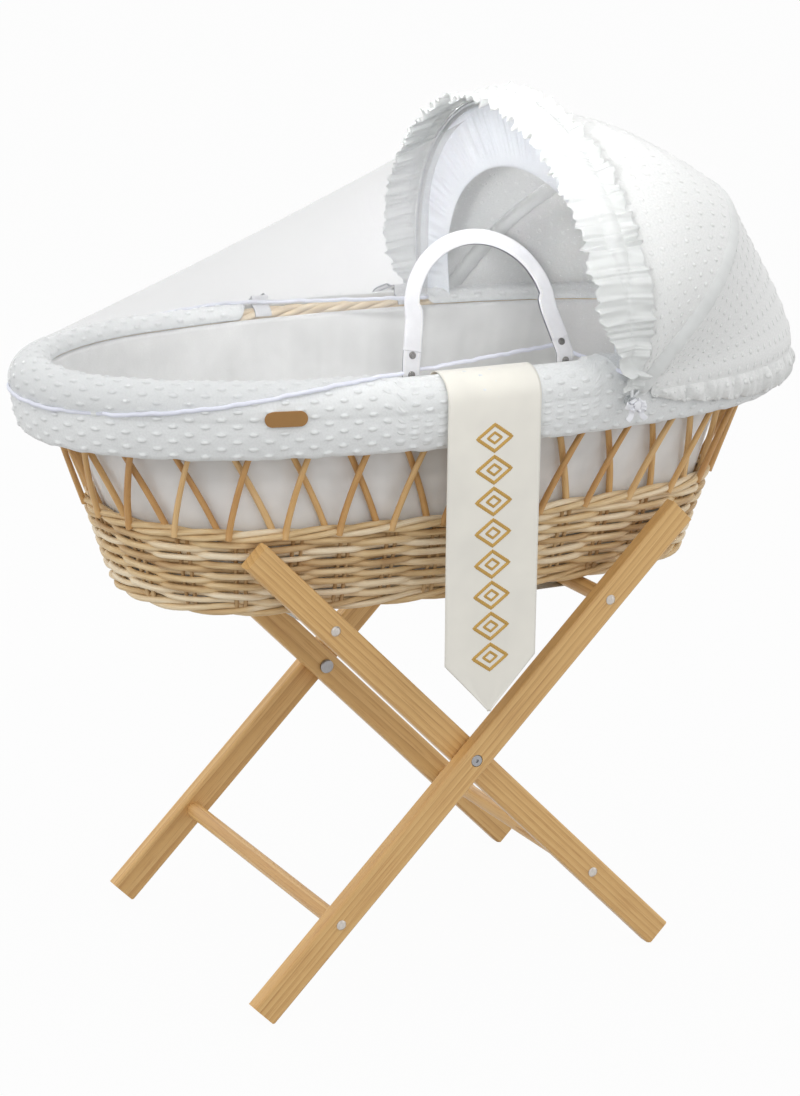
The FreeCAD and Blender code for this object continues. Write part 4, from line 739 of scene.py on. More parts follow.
def lozenge(middle_z, half_width, half_height, strip):
    """A closed strip of satin stitch round a lozenge, as a flattened tube with tiny cross ridges."""
    corners = np.array([[half_width, 0], [0, half_height], [-half_width, 0], [0, -half_height], [half_width, 0]])
    path = line_through(corners, 81)[0][:-1]
    along = unit(np.roll(path, -1, axis=0) - np.roll(path, 1, axis=0))
    side = np.column_stack([along[:, 1], -along[:, 0]])
    angle = turns_round(8)
    ridge = 1 + 0.10 * np.cos(np.arange(80) * math.pi)
    x = sash_middle + path[:, :1] + side[:, :1] * strip * np.cos(angle) * ridge[:, None]
    z = middle_z + path[:, 1:] + side[:, 1:] * strip * np.cos(angle) * ridge[:, None]
    lift = 0.35 * mm + 0.75 * mm * np.sin(angle)[None] * ridge[:, None]
    return on_sash(x, z, lift), True, 0.5


first_lozenge, lozenge_step = 52 * mm, 33.5 * mm
motif = []
for k in range(8):
    middle_z = border_z - first_lozenge - lozenge_step * k
    motif.append(lozenge(middle_z, 20 * mm, 14 * mm, 2.0 * mm))
    motif.append(lozenge(middle_z, 8 * mm, 5.6 * mm, 1.5 * mm))
gold_motif = lofts_object("gold_motif", motif)
print("motif", len(gold_motif.data.polygons), "faces")


# %% [markdown]
# A handle is white leather. At each end a flat strap goes over the border, where a press stud closes it, and bends
# at the stud; higher up it disappears between the two folds of the grip, which is an arch sewn along its inner edge.
# A strap is a rounded flat section carried along a path. The bends are joints, so each handle is made in two pieces,
# which overlap between the joints.

# %% Handles
def flat_section(path, across, half_width, half_thickness, corners=20):
    """Path + half_width * c * across + half_thickness * s * normal; c and s are a circle's made nearly square."""
    along = unit(np.gradient(path, axis=0))
    across = unit(across - along * (across * along).sum(axis=1, keepdims=True))
    normal = np.cross(along, across)
    angle = turns_round(corners, 0.5)
    c, s = np.cos(angle), np.sin(angle)
    c, s = np.sign(c) * np.abs(c) ** 0.35, np.sign(s) * np.abs(s) ** 0.6
    half_width = np.broadcast_to(half_width, len(path))[:, None, None]
    half_thickness = np.broadcast_to(half_thickness, len(path))[:, None, None]
    sides = half_width * c[None, :, None] * across[:, None] + half_thickness * s[None, :, None] * normal[:, None]
    edge = np.broadcast_to((np.abs(c) > 0.97).astype(float), (len(path), corners))
    return path[:, None] + sides, edge


hinge_z = border_z + 22 * mm
grip_radius, strap_length = 78 * mm, 40.5 * mm
arch_rise = 126.5 * mm - grip_radius
strap_half_thickness, grip_half_thickness = 1.15 * mm, 1.95 * mm
handle_turns = {-1: (-20.5, -20.5), 1: (113.5, 180.0)}


def strap_reach(height):
    """The straps lean towards each other: half_span at the hinge, the grip's radius where its arch begins."""
    return half_span + (grip_radius - half_span) * height / arch_rise


def stitch(path, k, middle, half, share):
    """A short thread that lies along the path beside its point k."""
    return rod(middle + np.linspace(-half, half, 4)[:, None] * (path[k + 1] - path[k - 1]) / share,
               0.35 * mm, False, 2.0, 5)


def in_handle(side, points, turn, start):
    """Points (x, normal, height) of the handle's own plane, turned down about X, from a start (y, z)."""
    a, facing = math.radians(turn), -side
    y = points[:, 1] * math.cos(a) - points[:, 2] * math.sin(a)
    z = points[:, 1] * math.sin(a) + points[:, 2] * math.cos(a)
    return np.column_stack([handle_places[side] + facing * points[:, 0], start[0] + facing * y, start[1] + z])


def strap_piece(name, side):
    """Two straps: round the border, up to the hinge line, and on into the grip."""
    lofts = []
    radius = cover_inside + 1.2 * mm
    for end in (-1, 1):
        x = handle_places[side] - side * end * half_span
        middle_y = abs(rim.at(np.array([rim.share_at(x, side)]))[0][0, 1])
        last = math.acos(np.clip((hinge_y - middle_y) / radius, -1, 1))
        turns = np.linspace(math.radians(176), last, 22)
        wrap = points_at(x, side * (middle_y + radius * np.cos(turns)), border_z + radius * np.sin(turns))
        rise_z = np.linspace(border_z + radius * math.sin(last) + 2 * mm, hinge_z - 1.5 * mm, 6)
        height = np.linspace(1.5 * mm, 28 * mm, 12)
        upper = points_at(end * strap_reach(height), 0, height)
        upper = in_handle(side, upper, handle_turns[side][0], (side * hinge_y, hinge_z))
        path, _ = line_through(np.concatenate([wrap, points_at(x, side * hinge_y, rise_z), upper]), 90)
        path = eased(path, 6)
        grid, edge = flat_section(path, np.tile([1.0, 0.0, 0.0], (90, 1)), 10 * mm, strap_half_thickness)
        lofts.append((grid, False, edge))
        for edge_side in (-1, 1):
            for k in range(3, 84, 3):
                normal = np.cross(unit(path[k + 1] - path[k - 1]), [1.0, 0.0, 0.0])
                for face in (-1, 1):
                    middle = path[k] + normal * face * strap_half_thickness + np.array([edge_side * 7.4 * mm, 0, 0])
                    lofts.append(stitch(path, k, middle, 0.9, 2.6))
    return lofts_object(name, lofts)


def grip_piece(name, side):
    """Strap end, bend, leg, half circle, leg, bend and strap end, in the handle's plane.

    Where it is sewn together it is narrower and thicker: swell goes from 0 on the strap ends to 1 on the grip.
    """
    strap_turn, grip_turn = handle_turns[side]
    heights = np.linspace(16 * mm, strap_length - 1 * mm, 8)
    bend = in_handle(side, np.array([[0.0, 0.0, strap_length]]), strap_turn, (side * hinge_y, hinge_z))[0, 1:]
    centre = arch_rise - strap_length
    legs = np.linspace(1 * mm, centre, 4)
    turns = np.linspace(0, math.pi, 60)[1:-1]
    arch = points_at(grip_radius * np.cos(turns), 0, centre + grip_radius * np.sin(turns))
    legs_in = points_at(strap_reach(strap_length + legs), 0, legs)
    strap_in = points_at(strap_reach(heights), 0, heights)
    mirror = np.array([-1.0, 1.0, 1.0])
    parts = [
        in_handle(side, strap_in, strap_turn, (side * hinge_y, hinge_z)),
        in_handle(side, np.concatenate([legs_in, arch, (legs_in * mirror)[::-1]]), grip_turn, bend),
        in_handle(side, (strap_in * mirror)[::-1], strap_turn, (side * hinge_y, hinge_z)),
    ]
    path, way = line_through(np.concatenate(parts), 200)
    path = eased(path, 8)
    middle = path[len(path) // 2] * 0.5 + (path[0] + path[-1]) * 0.25
    plane_normal = unit(np.cross(path[60] - path[100], path[140] - path[100]))
    along = unit(np.gradient(path, axis=0))
    fold = np.cross(along, plane_normal[None])
    near_end = np.minimum(way, way[-1] - way)
    swell = np.clip((near_end - 42 * mm) / (7 * mm), 0, 1)
    half_width = (10.2 - 2.0 * swell) * mm
    half_thickness = grip_half_thickness + 0.75 * mm * swell
    inward = fold * np.sign(((middle - path) * fold).sum(axis=1))[:, None]
    path = path - inward * (2.0 * mm * swell)[:, None]
    grid, edge = flat_section(path, fold, half_width, half_thickness, 24)
    inner = np.sign(((middle - path)[:, None] * (grid - path[:, None])).sum(axis=2))
    lofts = [(grid, False, edge * (inner > 0))]
    normal = np.cross(along, fold)
    for k in range(2, 198, 2):
        for face in (-1, 1):
            sewn = path[k] + inward[k] * (half_width[k] - 2.6 * mm) + normal[k] * face * half_thickness[k]
            lofts.append(stitch(path, k, sewn, 0.8, 2.4))
    return lofts_object(name, lofts), bend


front_straps = strap_piece("front_handle_straps", -1)
back_straps = strap_piece("back_handle_straps", 1)
front_grip, front_bend = grip_piece("front_handle_grip", -1)
back_grip, back_bend = grip_piece("back_handle_grip", 1)
print("handle bends", [round(float(v), 4) for v in (*front_bend, *back_bend)])

# %% [markdown]
# The hood is cloth on two wire hoops that turn about one line beside the rim. A hoop is an arch: straight legs,
# shoulder arcs and a crown arc. A point of the hood's cloth is found from its share of the arch's length, on the
# front hoop and on the rear one, and the cloth between them bulges out a little, as padded cloth does.

# %% Hoops
pivot = node_box("hood_pivot_pins")
pivot = np.array([(pivot[0][0] + pivot[1][0]) / 2, 0.0, (pivot[0][2] + pivot[1][2]) / 2])


class Hoop:
    """An arch in its own plane, which passes through the pivot line at an angle from the horizontal."""

    def __init__(self, half_width, height, leg, shoulder, angle, origin):
        self.inward, drop = half_width - shoulder, height - shoulder
        self.centre = (drop ** 2 - self.inward ** 2 - leg ** 2) / (2 * (drop - leg))
        self.join = math.atan2(leg - self.centre, self.inward)
        self.crown, self.crown_turn = height - self.centre, math.pi / 2 - self.join
        self.half_width, self.leg, self.shoulder = half_width, leg, shoulder
        self.up = np.array([math.cos(math.radians(angle)), 0.0, math.sin(math.radians(angle))])
        self.normal = np.array([self.up[2], 0.0, -self.up[0]])
        self.origin = origin

    def parts(self, start):
        """Lengths of a leg above its start, of a shoulder and of half the crown."""
        return np.array([self.leg - start, self.shoulder * self.join, self.crown * self.crown_turn])

    def length(self, start):
        """Length of the whole arch."""
        return 2 * self.parts(start).sum()

    def at(self, share, start, offset=0.0, along=0.0):
        """Leg, shoulder, crown, shoulder, leg by length: centre + (radius + offset) * direction on each arc."""
        leg, shoulder, _ = self.parts(start)
        share = np.asarray(share, dtype=float)
        way = np.minimum(share, 1 - share) * self.length(start)
        bend = np.clip((way - leg) / self.shoulder, 0, self.join)
        top = self.join + np.clip((way - leg - shoulder) / self.crown, 0, self.crown_turn)
        on_leg, on_shoulder = way < leg, bend < self.join
        small, large = self.shoulder + offset, self.crown + offset
        y = np.where(on_shoulder, self.inward + small * np.cos(bend), large * np.cos(top))
        z = np.where(on_shoulder, self.leg + small * np.sin(bend), self.centre + large * np.sin(top))
        y = np.where(on_leg, self.half_width + offset, y) * np.where(share < 0.5, -1.0, 1.0)
        z = np.where(on_leg, start + way, z)
        return self.origin + points_at(0, y, 0) + z[..., None] * self.up + (along + 0 * y)[..., None] * self.normal


wire = 2 * mm
front_width = node_box("hood_front_hoop")[1][1] - wire
rear_width = node_box("hood_rear_hoop")[1][1] - wire
front_hoop = Hoop(front_width, height=287 * mm, leg=70 * mm, shoulder=205 * mm, angle=95.3, origin=pivot)
rear_hoop = Hoop(rear_width, height=274 * mm, leg=100 * mm, shoulder=170 * mm, angle=46.5, origin=pivot)
print("hoop half widths", round(front_width, 4), round(rear_width, 4))


def pushed(grid, amount, away_from):
    """The grid moved along its own normals, away from a point."""
    normals = unit(np.cross(np.gradient(grid, axis=0), np.gradient(grid, axis=1)))
    sign = np.sign((normals * (grid - np.array(away_from))).sum())
    return grid + normals * sign * amount[..., None]


def steps_along(grid, axis):
    """Mean length from the grid's start to each row (axis 0) or column (axis 1)."""
    return running(np.linalg.norm(np.diff(grid, axis=axis), axis=2).mean(axis=1 - axis))


def cloth_object(name, grid, away_from, thickness, dotted=0.0):
    """A sheet with raised dots, if asked, and a thickness."""
    u, v = steps_along(grid, 0), steps_along(grid, 1)
    if dotted:
        grid = pushed(grid, dotted * dots(v[None, :], u[:, None], *hood_dot), away_from)
    piece = sheet_object(name, grid, u, v, away_from=away_from)
    thicken(piece, thickness)
    return piece


hood_middle = pivot + np.array([0.02, 0.0, 0.02])

# %% Canopy and back panel
s_even = np.linspace(0, 1, 380)
t_even = np.linspace(0, 1, 130)
canopy_start, panel_start = 24 * mm, 36 * mm
cloth_off, binding_clear = 1.6 * mm, 7.6 * mm


def canopy_grid():
    """(1 - t) * front hoop + t * rear hoop, pushed out by a bulge that is 0 at both hoops."""
    front = front_hoop.at(s_even, canopy_start, wire + 2 * gap + 1.2 * mm)
    rear = rear_hoop.at(s_even, canopy_start, cloth_off, -binding_clear)
    grid = front[:, None] * (1 - t_even)[None, :, None] + rear[:, None] * t_even[None, :, None]
    crown = np.sin(math.pi * s_even) ** 0.7
    bulge = 13 * mm * crown[:, None] * (np.sin(math.pi * t_even) * (1 - 0.4 * np.cos(math.pi * t_even)))[None]
    wave = 1.2 * mm * smooth_noise(s_even, 51, (3, 5, 9))[:, None] * np.sin(2 * math.pi * t_even)[None]
    return pushed(grid, wave + bulge, hood_middle)


canopy = cloth_object("hood_canopy_cloth", canopy_grid(), hood_middle, 1.0 * mm, 1.1 * mm)

panel_cut = pivot[0] + 27 * mm
roll_cloth = roll + 2.3 * mm


def beside_roll(angle):
    """Reach and height of a place on the cloth that lies over the skirt's roll."""
    return roll_cloth * np.cos(angle), roll_middle + roll_cloth * np.sin(angle)


def round_end(share_front, share_back, reach, height):
    """A line round one end of the rim, from the front to the back."""
    return raised(rim.at(share_front + (share_back - share_front) * s_even, reach)[0], border_z + height)


def panel_grid():
    """From the rear hoop in a quadratic bend that meets the skirt's roll along its tangent, and down to a hem.

    The hem lies high beside the pivot and low at the head end. Its elastic draws it in to the skirt, so that the cloth
    above it falls in short crumpled folds: the rows are pushed out by gathers that are 0 at the roll and at the hem.
    """
    ends = rim.share_at(panel_cut, -1), 1 + rim.share_at(panel_cut, 1)
    top = rear_hoop.at(s_even, panel_start, cloth_off, binding_clear)
    arch = np.sin(math.pi * s_even)
    first = np.radians(8 + 8 * arch ** 0.7)
    index, part = rim.locate(ends[0] + (ends[1] - ends[0]) * s_even)

    def beside(reach, height):
        """A line at a reach from the rim and a height above the border."""
        return raised(rim.place(index, part, reach)[0], border_z + height)

    shoulder = beside(*beside_roll(first))
    _, outward = rim.place(index, part)
    upwards = raised(-outward * np.sin(first)[:, None], np.cos(first))
    control = shoulder + upwards * 0.3 * np.linalg.norm(top - shoulder, axis=1)[:, None]
    # three stretches of rows: the free cloth, the cloth on the roll, and the gathered part down to the hem
    rows = [top * (1 - t) ** 2 + control * 2 * t * (1 - t) + shoulder * t ** 2 for t in np.linspace(0, 1, 78)]
    for t in np.linspace(0, 1, 24)[1:]:
        rows.append(beside(*beside_roll(first + (roll_end - first) * t)))
    low = beside_roll(roll_end)
    hem_height = -22 * mm - (skirt_drop - 28 * mm) * arch ** 0.45
    fold = smooth_noise(s_even, 52, (19, 31, 47))
    crumple = smooth_noise(s_even, 53, (53, 71, 90))
    for t in np.linspace(0, 1, 30)[1:]:
        share = np.maximum(low[1] - hem_height, 4 * mm) * t / (low[1] + skirt_drop)
        reach = low[0] + (hem_reach + 3.2 * mm - low[0]) * share + 2.6 * mm * np.sin(math.pi * share)
        loose = math.sin(math.pi * t) ** 0.8
        reach = reach + loose * (3.6 + 3.8 * fold + 1.5 * crumple) * mm + 1.1 * mm * t ** 4 * (1 + crumple)
        rows.append(beside(reach, low[1] * (1 - t) + hem_height * t + 1.5 * mm * t * fold))
    return np.array(rows).transpose(1, 0, 2)


back_panel = cloth_object("hood_back_cloth", panel_grid(), hood_middle + np.array([0.1, 0, 0]), 1.0 * mm, 1.1 * mm)
print("canopy", len(canopy.data.polygons), "back panel", len(back_panel.data.polygons))

# %% Frill, facing and binding
def frill_grid(rows=900, columns=40):
    """Shirred satin: pinched at two seams, puffed between them, and flared into loose folds at both edges.

    It is widest over the crown. Low on each side the two seams run together, and the end is twisted. narrow and far
    go from 0 at the ends to 1 over the crown, and lift, in millimetres, is the height over the hoop.
    """
    share = np.linspace(0, 1, rows)
    start = 15 * mm
    length = front_hoop.length(start)
    across = np.linspace(-1, 1, columns)[None, :]
    fine = 2 * math.pi * share * length / (13 * mm) + 3.4 * smooth_noise(share, 61, (9, 17, 29))
    wide = 2 * math.pi * share * length / (34 * mm) + 3.0 * smooth_noise(share, 62, (7, 13, 23))
    uneven = 1 + 0.22 * smooth_noise(share, 65, (11, 27, 45))[:, None]
    from_end = np.minimum(share, 1 - share) * length
    narrow = smooth_step((from_end - 10 * mm) / (75 * mm))[:, None]
    far = smooth_step((from_end - 85 * mm) / (60 * mm))[:, None]
    pinch = 0.36 * far
    seam = np.exp(-((np.abs(across) - pinch) / 0.09) ** 2)
    edge = np.clip((np.abs(across) - pinch - 0.04) / (0.96 - pinch), 0, 1)
    puff = np.clip(1 - (across / (pinch + 0.01)) ** 2, 0, 1) * far
    fine, wide = fine[:, None] + 1.2 * across, wide[:, None] + 1.1 * across * np.sign(across)
    lift = 2.2 + 3.0 * puff + 3.6 * edge + (1 - seam) * (0.9 * np.sin(fine) + 1.2 * puff * np.sin(fine * 0.5 + 1))
    lift = lift + edge * (3.4 * np.sin(wide) + 1.9 * np.sin(fine)) * uneven + 0.6 * np.sin(2.3 * fine + wide)
    lift = lift + 3 * (1 - far) * edge + (1 - narrow) * 2.4 * np.sin(wide * 0.9 + 2 * across)
    ragged = smooth_noise(share, 66, (37, 71, 113, 167))[:, None]
    slide = edge * (0.04 * np.sin(wide + 1.4) + 0.015 * np.sin(fine + 0.6) + 0.05 * ragged) * uneven
    drift = 1.0 * mm * edge * np.sin(wide + 1.0) / length
    base_offset = wire + 2 * gap + 1.6 * mm + gap
    half = (12 + 13.5 * narrow) * mm
    twist = (1 - narrow) * 3.5 * mm * np.sin(wide[:, :1] * 0.8)
    reach_on = 1 + 0.5 * narrow * np.clip(-across, 0, 1) ** 1.5
    lift = lift - 7.0 * narrow * np.clip(-across - 0.35, 0, 1) ** 1.3
    place_along = half * (across * reach_on * (1 + slide * np.sign(across))) + twist
    share_at = np.clip(share[:, None] + drift, 0, 1)
    offset = base_offset + np.clip(lift, 0.6 - 6.0 * (across < -0.6), 13.5) * mm
    return front_hoop.at(share_at, start, offset, place_along)


frill = cloth_object("satin_frill", frill_grid(), hood_middle, 0.5 * mm)


def facing_grid(rows=520, columns=24):
    """A wide band inside the front hoop, from the hoop inwards, with faint gathers that fade towards its edge."""
    share = np.linspace(0, 1, rows)
    t = np.linspace(0, 1, columns)[None, :]
    start = 30 * mm
    length = front_hoop.length(start)
    fold = 2 * math.pi * share * length / (14 * mm) + 2.2 * smooth_noise(share, 63, (9, 19, 33))
    depth = (4.2 + (48 + 24 * np.sin(math.pi * share[:, None]) ** 2) * t) * mm
    wave = 1.1 * mm * np.sin(math.pi * np.clip(t * 1.15, 0, 1)) * np.sin(fold[:, None] + 0.7 * t)
    return front_hoop.at(share[:, None] + 0 * t, start, -depth, 3.4 * mm + 9 * mm * t + wave)


facing = cloth_object("hood_facing", facing_grid(), hood_middle, 0.5 * mm)


def binding_grid(rows=460, columns=24):
    """A flat tube of satin round the rear hoop, slightly puckered along it, with rounded ends beside the pivots."""
    share = np.linspace(0, 1, rows)
    start = 13 * mm
    angle = turns_round(columns)
    pucker = 1 + 0.05 * smooth_noise(share, 64, (29, 47, 83))[:, None]
    from_end = np.minimum(share, 1 - share) * rear_hoop.length(start)
    rounded = np.sqrt(1 - (1 - np.clip(from_end / (8 * mm), 0, 1)) ** 2 * 0.98)[:, None]
    offset = 4.4 * mm * np.sin(angle)[None] * pucker * rounded
    along = 9.4 * mm * np.cos(angle)[None] * pucker * rounded
    return rear_hoop.at(share[:, None] + 0 * angle, start, offset, along)


binding = lofts_object("satin_binding", [(binding_grid(), False, 0.5)])

# %% [markdown]
# The net hangs from the front hoop to the foot end. It narrows beside the handles, passes outside the rim at the foot
# end, and its edge is bound with a white tape. It is one sheet, drawn through an arch at the hoop, a narrower arch
# beside the handles, and lines round the foot end.

# %% Net
waist = Hoop(144 * mm, 242 * mm, 112 * mm, 108 * mm, 90.0, np.array([92 * mm, 0.0, border_z]))


def net_grid():
    """Straight from arch to arch and from the narrow arch to the rim, with a slight sag.

    The net's sides cross the roll slantwise: the further out on the roll, the nearer to the foot end.
    """
    hoop_line = front_hoop.at(s_even, 30 * mm, -wire - gap - 0.5 * mm, -3 * mm)
    waist_line = waist.at(s_even, crest + 2 * mm, -0.5 * mm)
    foot = []
    for t in np.linspace(0, 1, 15):
        x = -(128 + 287 * (1 - (1 - t) ** 0.8)) * mm
        ends = rim.share_at(x, -1), rim.share_at(x, 1)
        foot.append(round_end(*ends, *beside_roll(math.radians(78 - 92 * t))))
    rows = [hoop_line * (1 - t) + waist_line * t for t in np.linspace(0, 1, 10)[:-1]]
    for t in np.linspace(0, 1, 60)[:-1]:
        row = waist_line * (1 - t) + foot[0] * t
        row[:, 2] -= 4 * mm * math.sin(math.pi * t) * np.sin(math.pi * s_even) ** 0.6
        rows.append(row)
    return np.array(rows + foot).transpose(1, 0, 2)


net_points = net_grid()
net = sheet_object("insect_net", net_points, steps_along(net_points, 0), steps_along(net_points, 1),
                   away_from=(0.0, 0.0, border_z))
edge_line = np.concatenate([net_points[0], net_points[1:-1, -1], net_points[-1, ::-1]])
edge_line = eased(line_through(edge_line, 900)[0], 10)
edge_line[:, 2] += 0.5 * mm * smooth_noise(np.linspace(0, 1, 900), 71, (31, 57, 90))
net_tape = lofts_object("net_tape", [rod(edge_line, 2.3 * mm)])
print("net", len(net.data.polygons), "tape", round(float(line_through(edge_line, 10)[1][-1]), 3), "m")

# %% Webbing straps and ribbons
rail_low, rail_high = node_box("outer_upper_rail")
rail_radius, rail_z = float(rail_high[2] - rail_low[2]) / 2, float(rail_high[2] + rail_low[2]) / 2
rail_x = sorted(float(sum(node_box(name))[0]) / 2 for name in ("outer_upper_rail", "inner_upper_rail"))
web_half, web_end = 20 * mm, 45 * mm


def web_line():
    """Sewn end, round one rail, across, round the other rail, sewn end."""
    reach = rail_radius + gap + 0.8 * mm
    quarter = math.pi / 2
    points = [(rail_x[0] + web_end, -reach)]
    for middle, turns in zip(rail_x, (np.linspace(-quarter, -3 * quarter, 24), np.linspace(quarter, -quarter, 24))):
        points += [(middle + reach * math.cos(a), reach * math.sin(a)) for a in turns]
    return line_through(points + [(rail_x[1] - web_end, -reach)], 260)


web_points, web_way = web_line()
straps = []
for side in (-1, 1):
    y = side * (node_box("support_straps")[1][1] - web_half)
    path = points_at(web_points[:, 0], y, rail_z + web_points[:, 1])
    grid, edge = flat_section(path, np.tile([0.0, 1.0, 0.0], (260, 1)), web_half, 0.7 * mm)
    straps.append((grid, False, edge))
webbing = lofts_object("webbing_straps", straps)
print("webbing strap", round(float(web_way[-1]), 3), "m long")


def ribbon_bow(side):
    """A small tight bow over the pivot: a knot, and loops and short tails that stand out from it all round."""
    pin = node_box("hood_pivot_pins")[1][1]
    middle = np.array([pivot[0] + 1.5 * mm, side * (pin + 1.8 * mm), pivot[2] - 3 * mm])
    rng = np.random.default_rng(73)
    t = np.linspace(0, 2 * math.pi, 30)
    lofts = []
    for turn in np.radians([8, 62, 118, 172, 228, 300, 338]):
        out = np.array([math.cos(turn), 0.0, math.sin(turn) * 0.8])
        reach = rng.uniform(9.0, 12.5) * mm
        loop = out[None] * (reach * np.sin(t / 2) ** 0.9)[:, None]
        loop[:, 1] += side * (2.2 * mm * np.sin(t) + 1.6 * mm * np.sin(t / 2))
        loop[:, 2] += 1.4 * mm * np.sin(t + turn)
        width = (1.2 + 2.6 * np.sin(t / 2)) * mm
        across = np.tile(np.cross(out, [0.0, side, 0.0]) + [0.0, 0.45 * side, 0.0], (30, 1))
        lofts.append(flat_section(middle + loop, across, width, 0.4 * mm, 12))
    s = np.linspace(0, 1, 24)
    for way in (-1, 1):
        tail = points_at(
            way * (3 * mm + 7 * mm * s + 1.5 * mm * np.sin(7 * s)), side * (1 + 1.2 * np.sin(5 * s) ** 2) * mm,
            -(4 * s + 11 * s ** 1.3) * mm,
        )
        across = np.tile([1.0, 0.25 * side, 0.2 * way], (24, 1))
        lofts.append(flat_section(middle + tail, across, 3.0 * mm, 0.4 * mm, 12))
    knot = points_at(np.linspace(-4, 4, 14) * mm, side * 2.2 * mm, 0.4 * mm * np.cos(np.linspace(-3, 3, 14)))
    width = 4.4 * mm * np.sqrt(1 - np.linspace(-0.96, 0.96, 14) ** 2) ** 0.7 + 0.4 * mm
    lofts.append(flat_section(middle + knot, np.tile([0.0, 0.0, 1.0], (14, 1)), width, width * 0.5, 16))
    return [(grid, False, 0.5) for grid, _ in lofts]


ribbons = lofts_object("ribbon_bows", ribbon_bow(-1) + ribbon_bow(1))


# %% [markdown]
# Finishes. Every material is a small tree of nodes round one Principled shader. Colours are written as the eye sees
# them, from 0 to 255, and turned into the linear numbers that the shader needs. Wood reads Object coordinates, turned
# so that the grain runs along each leg; rods, cloth and straps read their own UV map, which is in metres.

# %% Helpers for finishes
def paint(red, green, blue):
    """Linear colour: ((c + 0.055) / 1.055) to the power 2.4, or c / 12.92 when dark."""
    c = np.array([red, green, blue]) / 255
    linear = np.where(c > 0.04045, ((c + 0.055) / 1.055) ** 2.4, c / 12.92)
    return (*[float(v) for v in linear], 1.0)


def darker(color, share):
    """The colour with each number cut to a share of itself and rounded down."""
    return paint(*[int(c * share) for c in color])


class Finish:
    """A material with a Principled shader; node() adds a node and sets or links its inputs."""

    def __init__(self, name, **sockets):
        self.material = bpy.data.materials.new(name)
        self.material.use_nodes = True
        self.tree = self.material.node_tree
        self.shader = self.tree.nodes["Principled BSDF"]
        self.put(self.shader, sockets)

    def put(self, node, sockets):
        """Sets sockets by name (spaces as underscores); a socket is linked, and a value is set."""
        for name, value in sockets.items():
            socket = node.inputs[int(name[1:]) if name[0] == "_" else name.replace("_", " ")]
            if isinstance(value, bpy.types.NodeSocket):
                self.tree.links.new(value, socket)
            else:
                socket.default_value = value

    def node(self, kind, out=0, settings=None, **sockets):
        """A new node's output; settings are its own choices, such as an operation, and the rest are its inputs."""
        made = self.tree.nodes.new("ShaderNode" + kind)
        for name, value in (settings or {}).items():
            setattr(made, name, value)
        self.put(made, sockets)
        return made.outputs[out]

    def places(self, kind="UV", scale=(1, 1, 1), turn=(0, 0, 0), shift=(0, 0, 0)):
        """UV or Object coordinates, moved, turned and scaled."""
        read = self.tree.nodes.new("ShaderNodeTexCoord").outputs[kind]
        return self.node("Mapping", Vector=read, Scale=scale, Rotation=[math.radians(a) for a in turn], Location=shift)

    def noise(self, where, scale, detail=3.0, rough=0.55):
        """Noise from 0 to 1, with scale blobs in a metre."""
        return self.node("TexNoise", Vector=where, Scale=scale, Detail=detail, Roughness=rough)

    def bands(self, where, scale, uneven, direction="X"):
        """Stripes across a direction, from 0 to 1."""
        return self.node("TexWave", 1, {"bands_direction": direction}, Vector=where, Scale=scale, Distortion=uneven)

    def ramp(self, factor, *stops):
        """A colour ramp from (place, colour) stops."""
        made = self.tree.nodes.new("ShaderNodeValToRGB")
        self.tree.links.new(factor, made.inputs[0])
        while len(made.color_ramp.elements) < len(stops):
            made.color_ramp.elements.new(0.5)
        for element, (place, color) in zip(made.color_ramp.elements, stops):
            element.position, element.color = place, color
        return made.outputs[0]

    def mix(self, factor, first, second, way="MIX"):
        """The first colour at factor 0 and the second at 1, or the two multiplied."""
        made = self.tree.nodes.new("ShaderNodeMix")
        made.data_type, made.blend_type = "RGBA", way
        self.put(made, {"_0": factor, "_6": first, "_7": second})
        return made.outputs[2]

    def math(self, operation, first, second=0.0, third=0.0):
        """One sum: MULTIPLY_ADD, for one, is first * second + third."""
        return self.node("Math", settings={"operation": operation}, _0=first, _1=second, _2=third)

    def bump(self, height, strength, distance, **under):
        """A normal tilted by a height map, on top of another bump if one is given as Normal."""
        return self.node("Bump", Height=height, Strength=strength, Distance=distance, **under)

    def done(self, **sockets):
        """Sets the shader's last inputs and gives the finished material."""
        self.put(self.shader, sockets)
        return self.material


def dress(finish, *pieces):
    """Puts one finish on every slot of some pieces, or of the CAD nodes with these names."""
    for piece in pieces:
        piece = frame["nodes"][piece] if isinstance(piece, str) else piece
        slots = piece.data.materials
        if not slots:
            slots.append(finish)
        for k in range(len(slots)):
            slots[k] = finish
        for slot in piece.material_slots:
            slot.material = finish


# %% [markdown]
# Pine: growth rings are cylinders about a line that nearly follows the grain, so a plank cut off centre shows long
# bands. Noise drawn out along the grain gives pores and streaks, and slow noise gives patches that took the varnish
# differently. The varnish is satin.

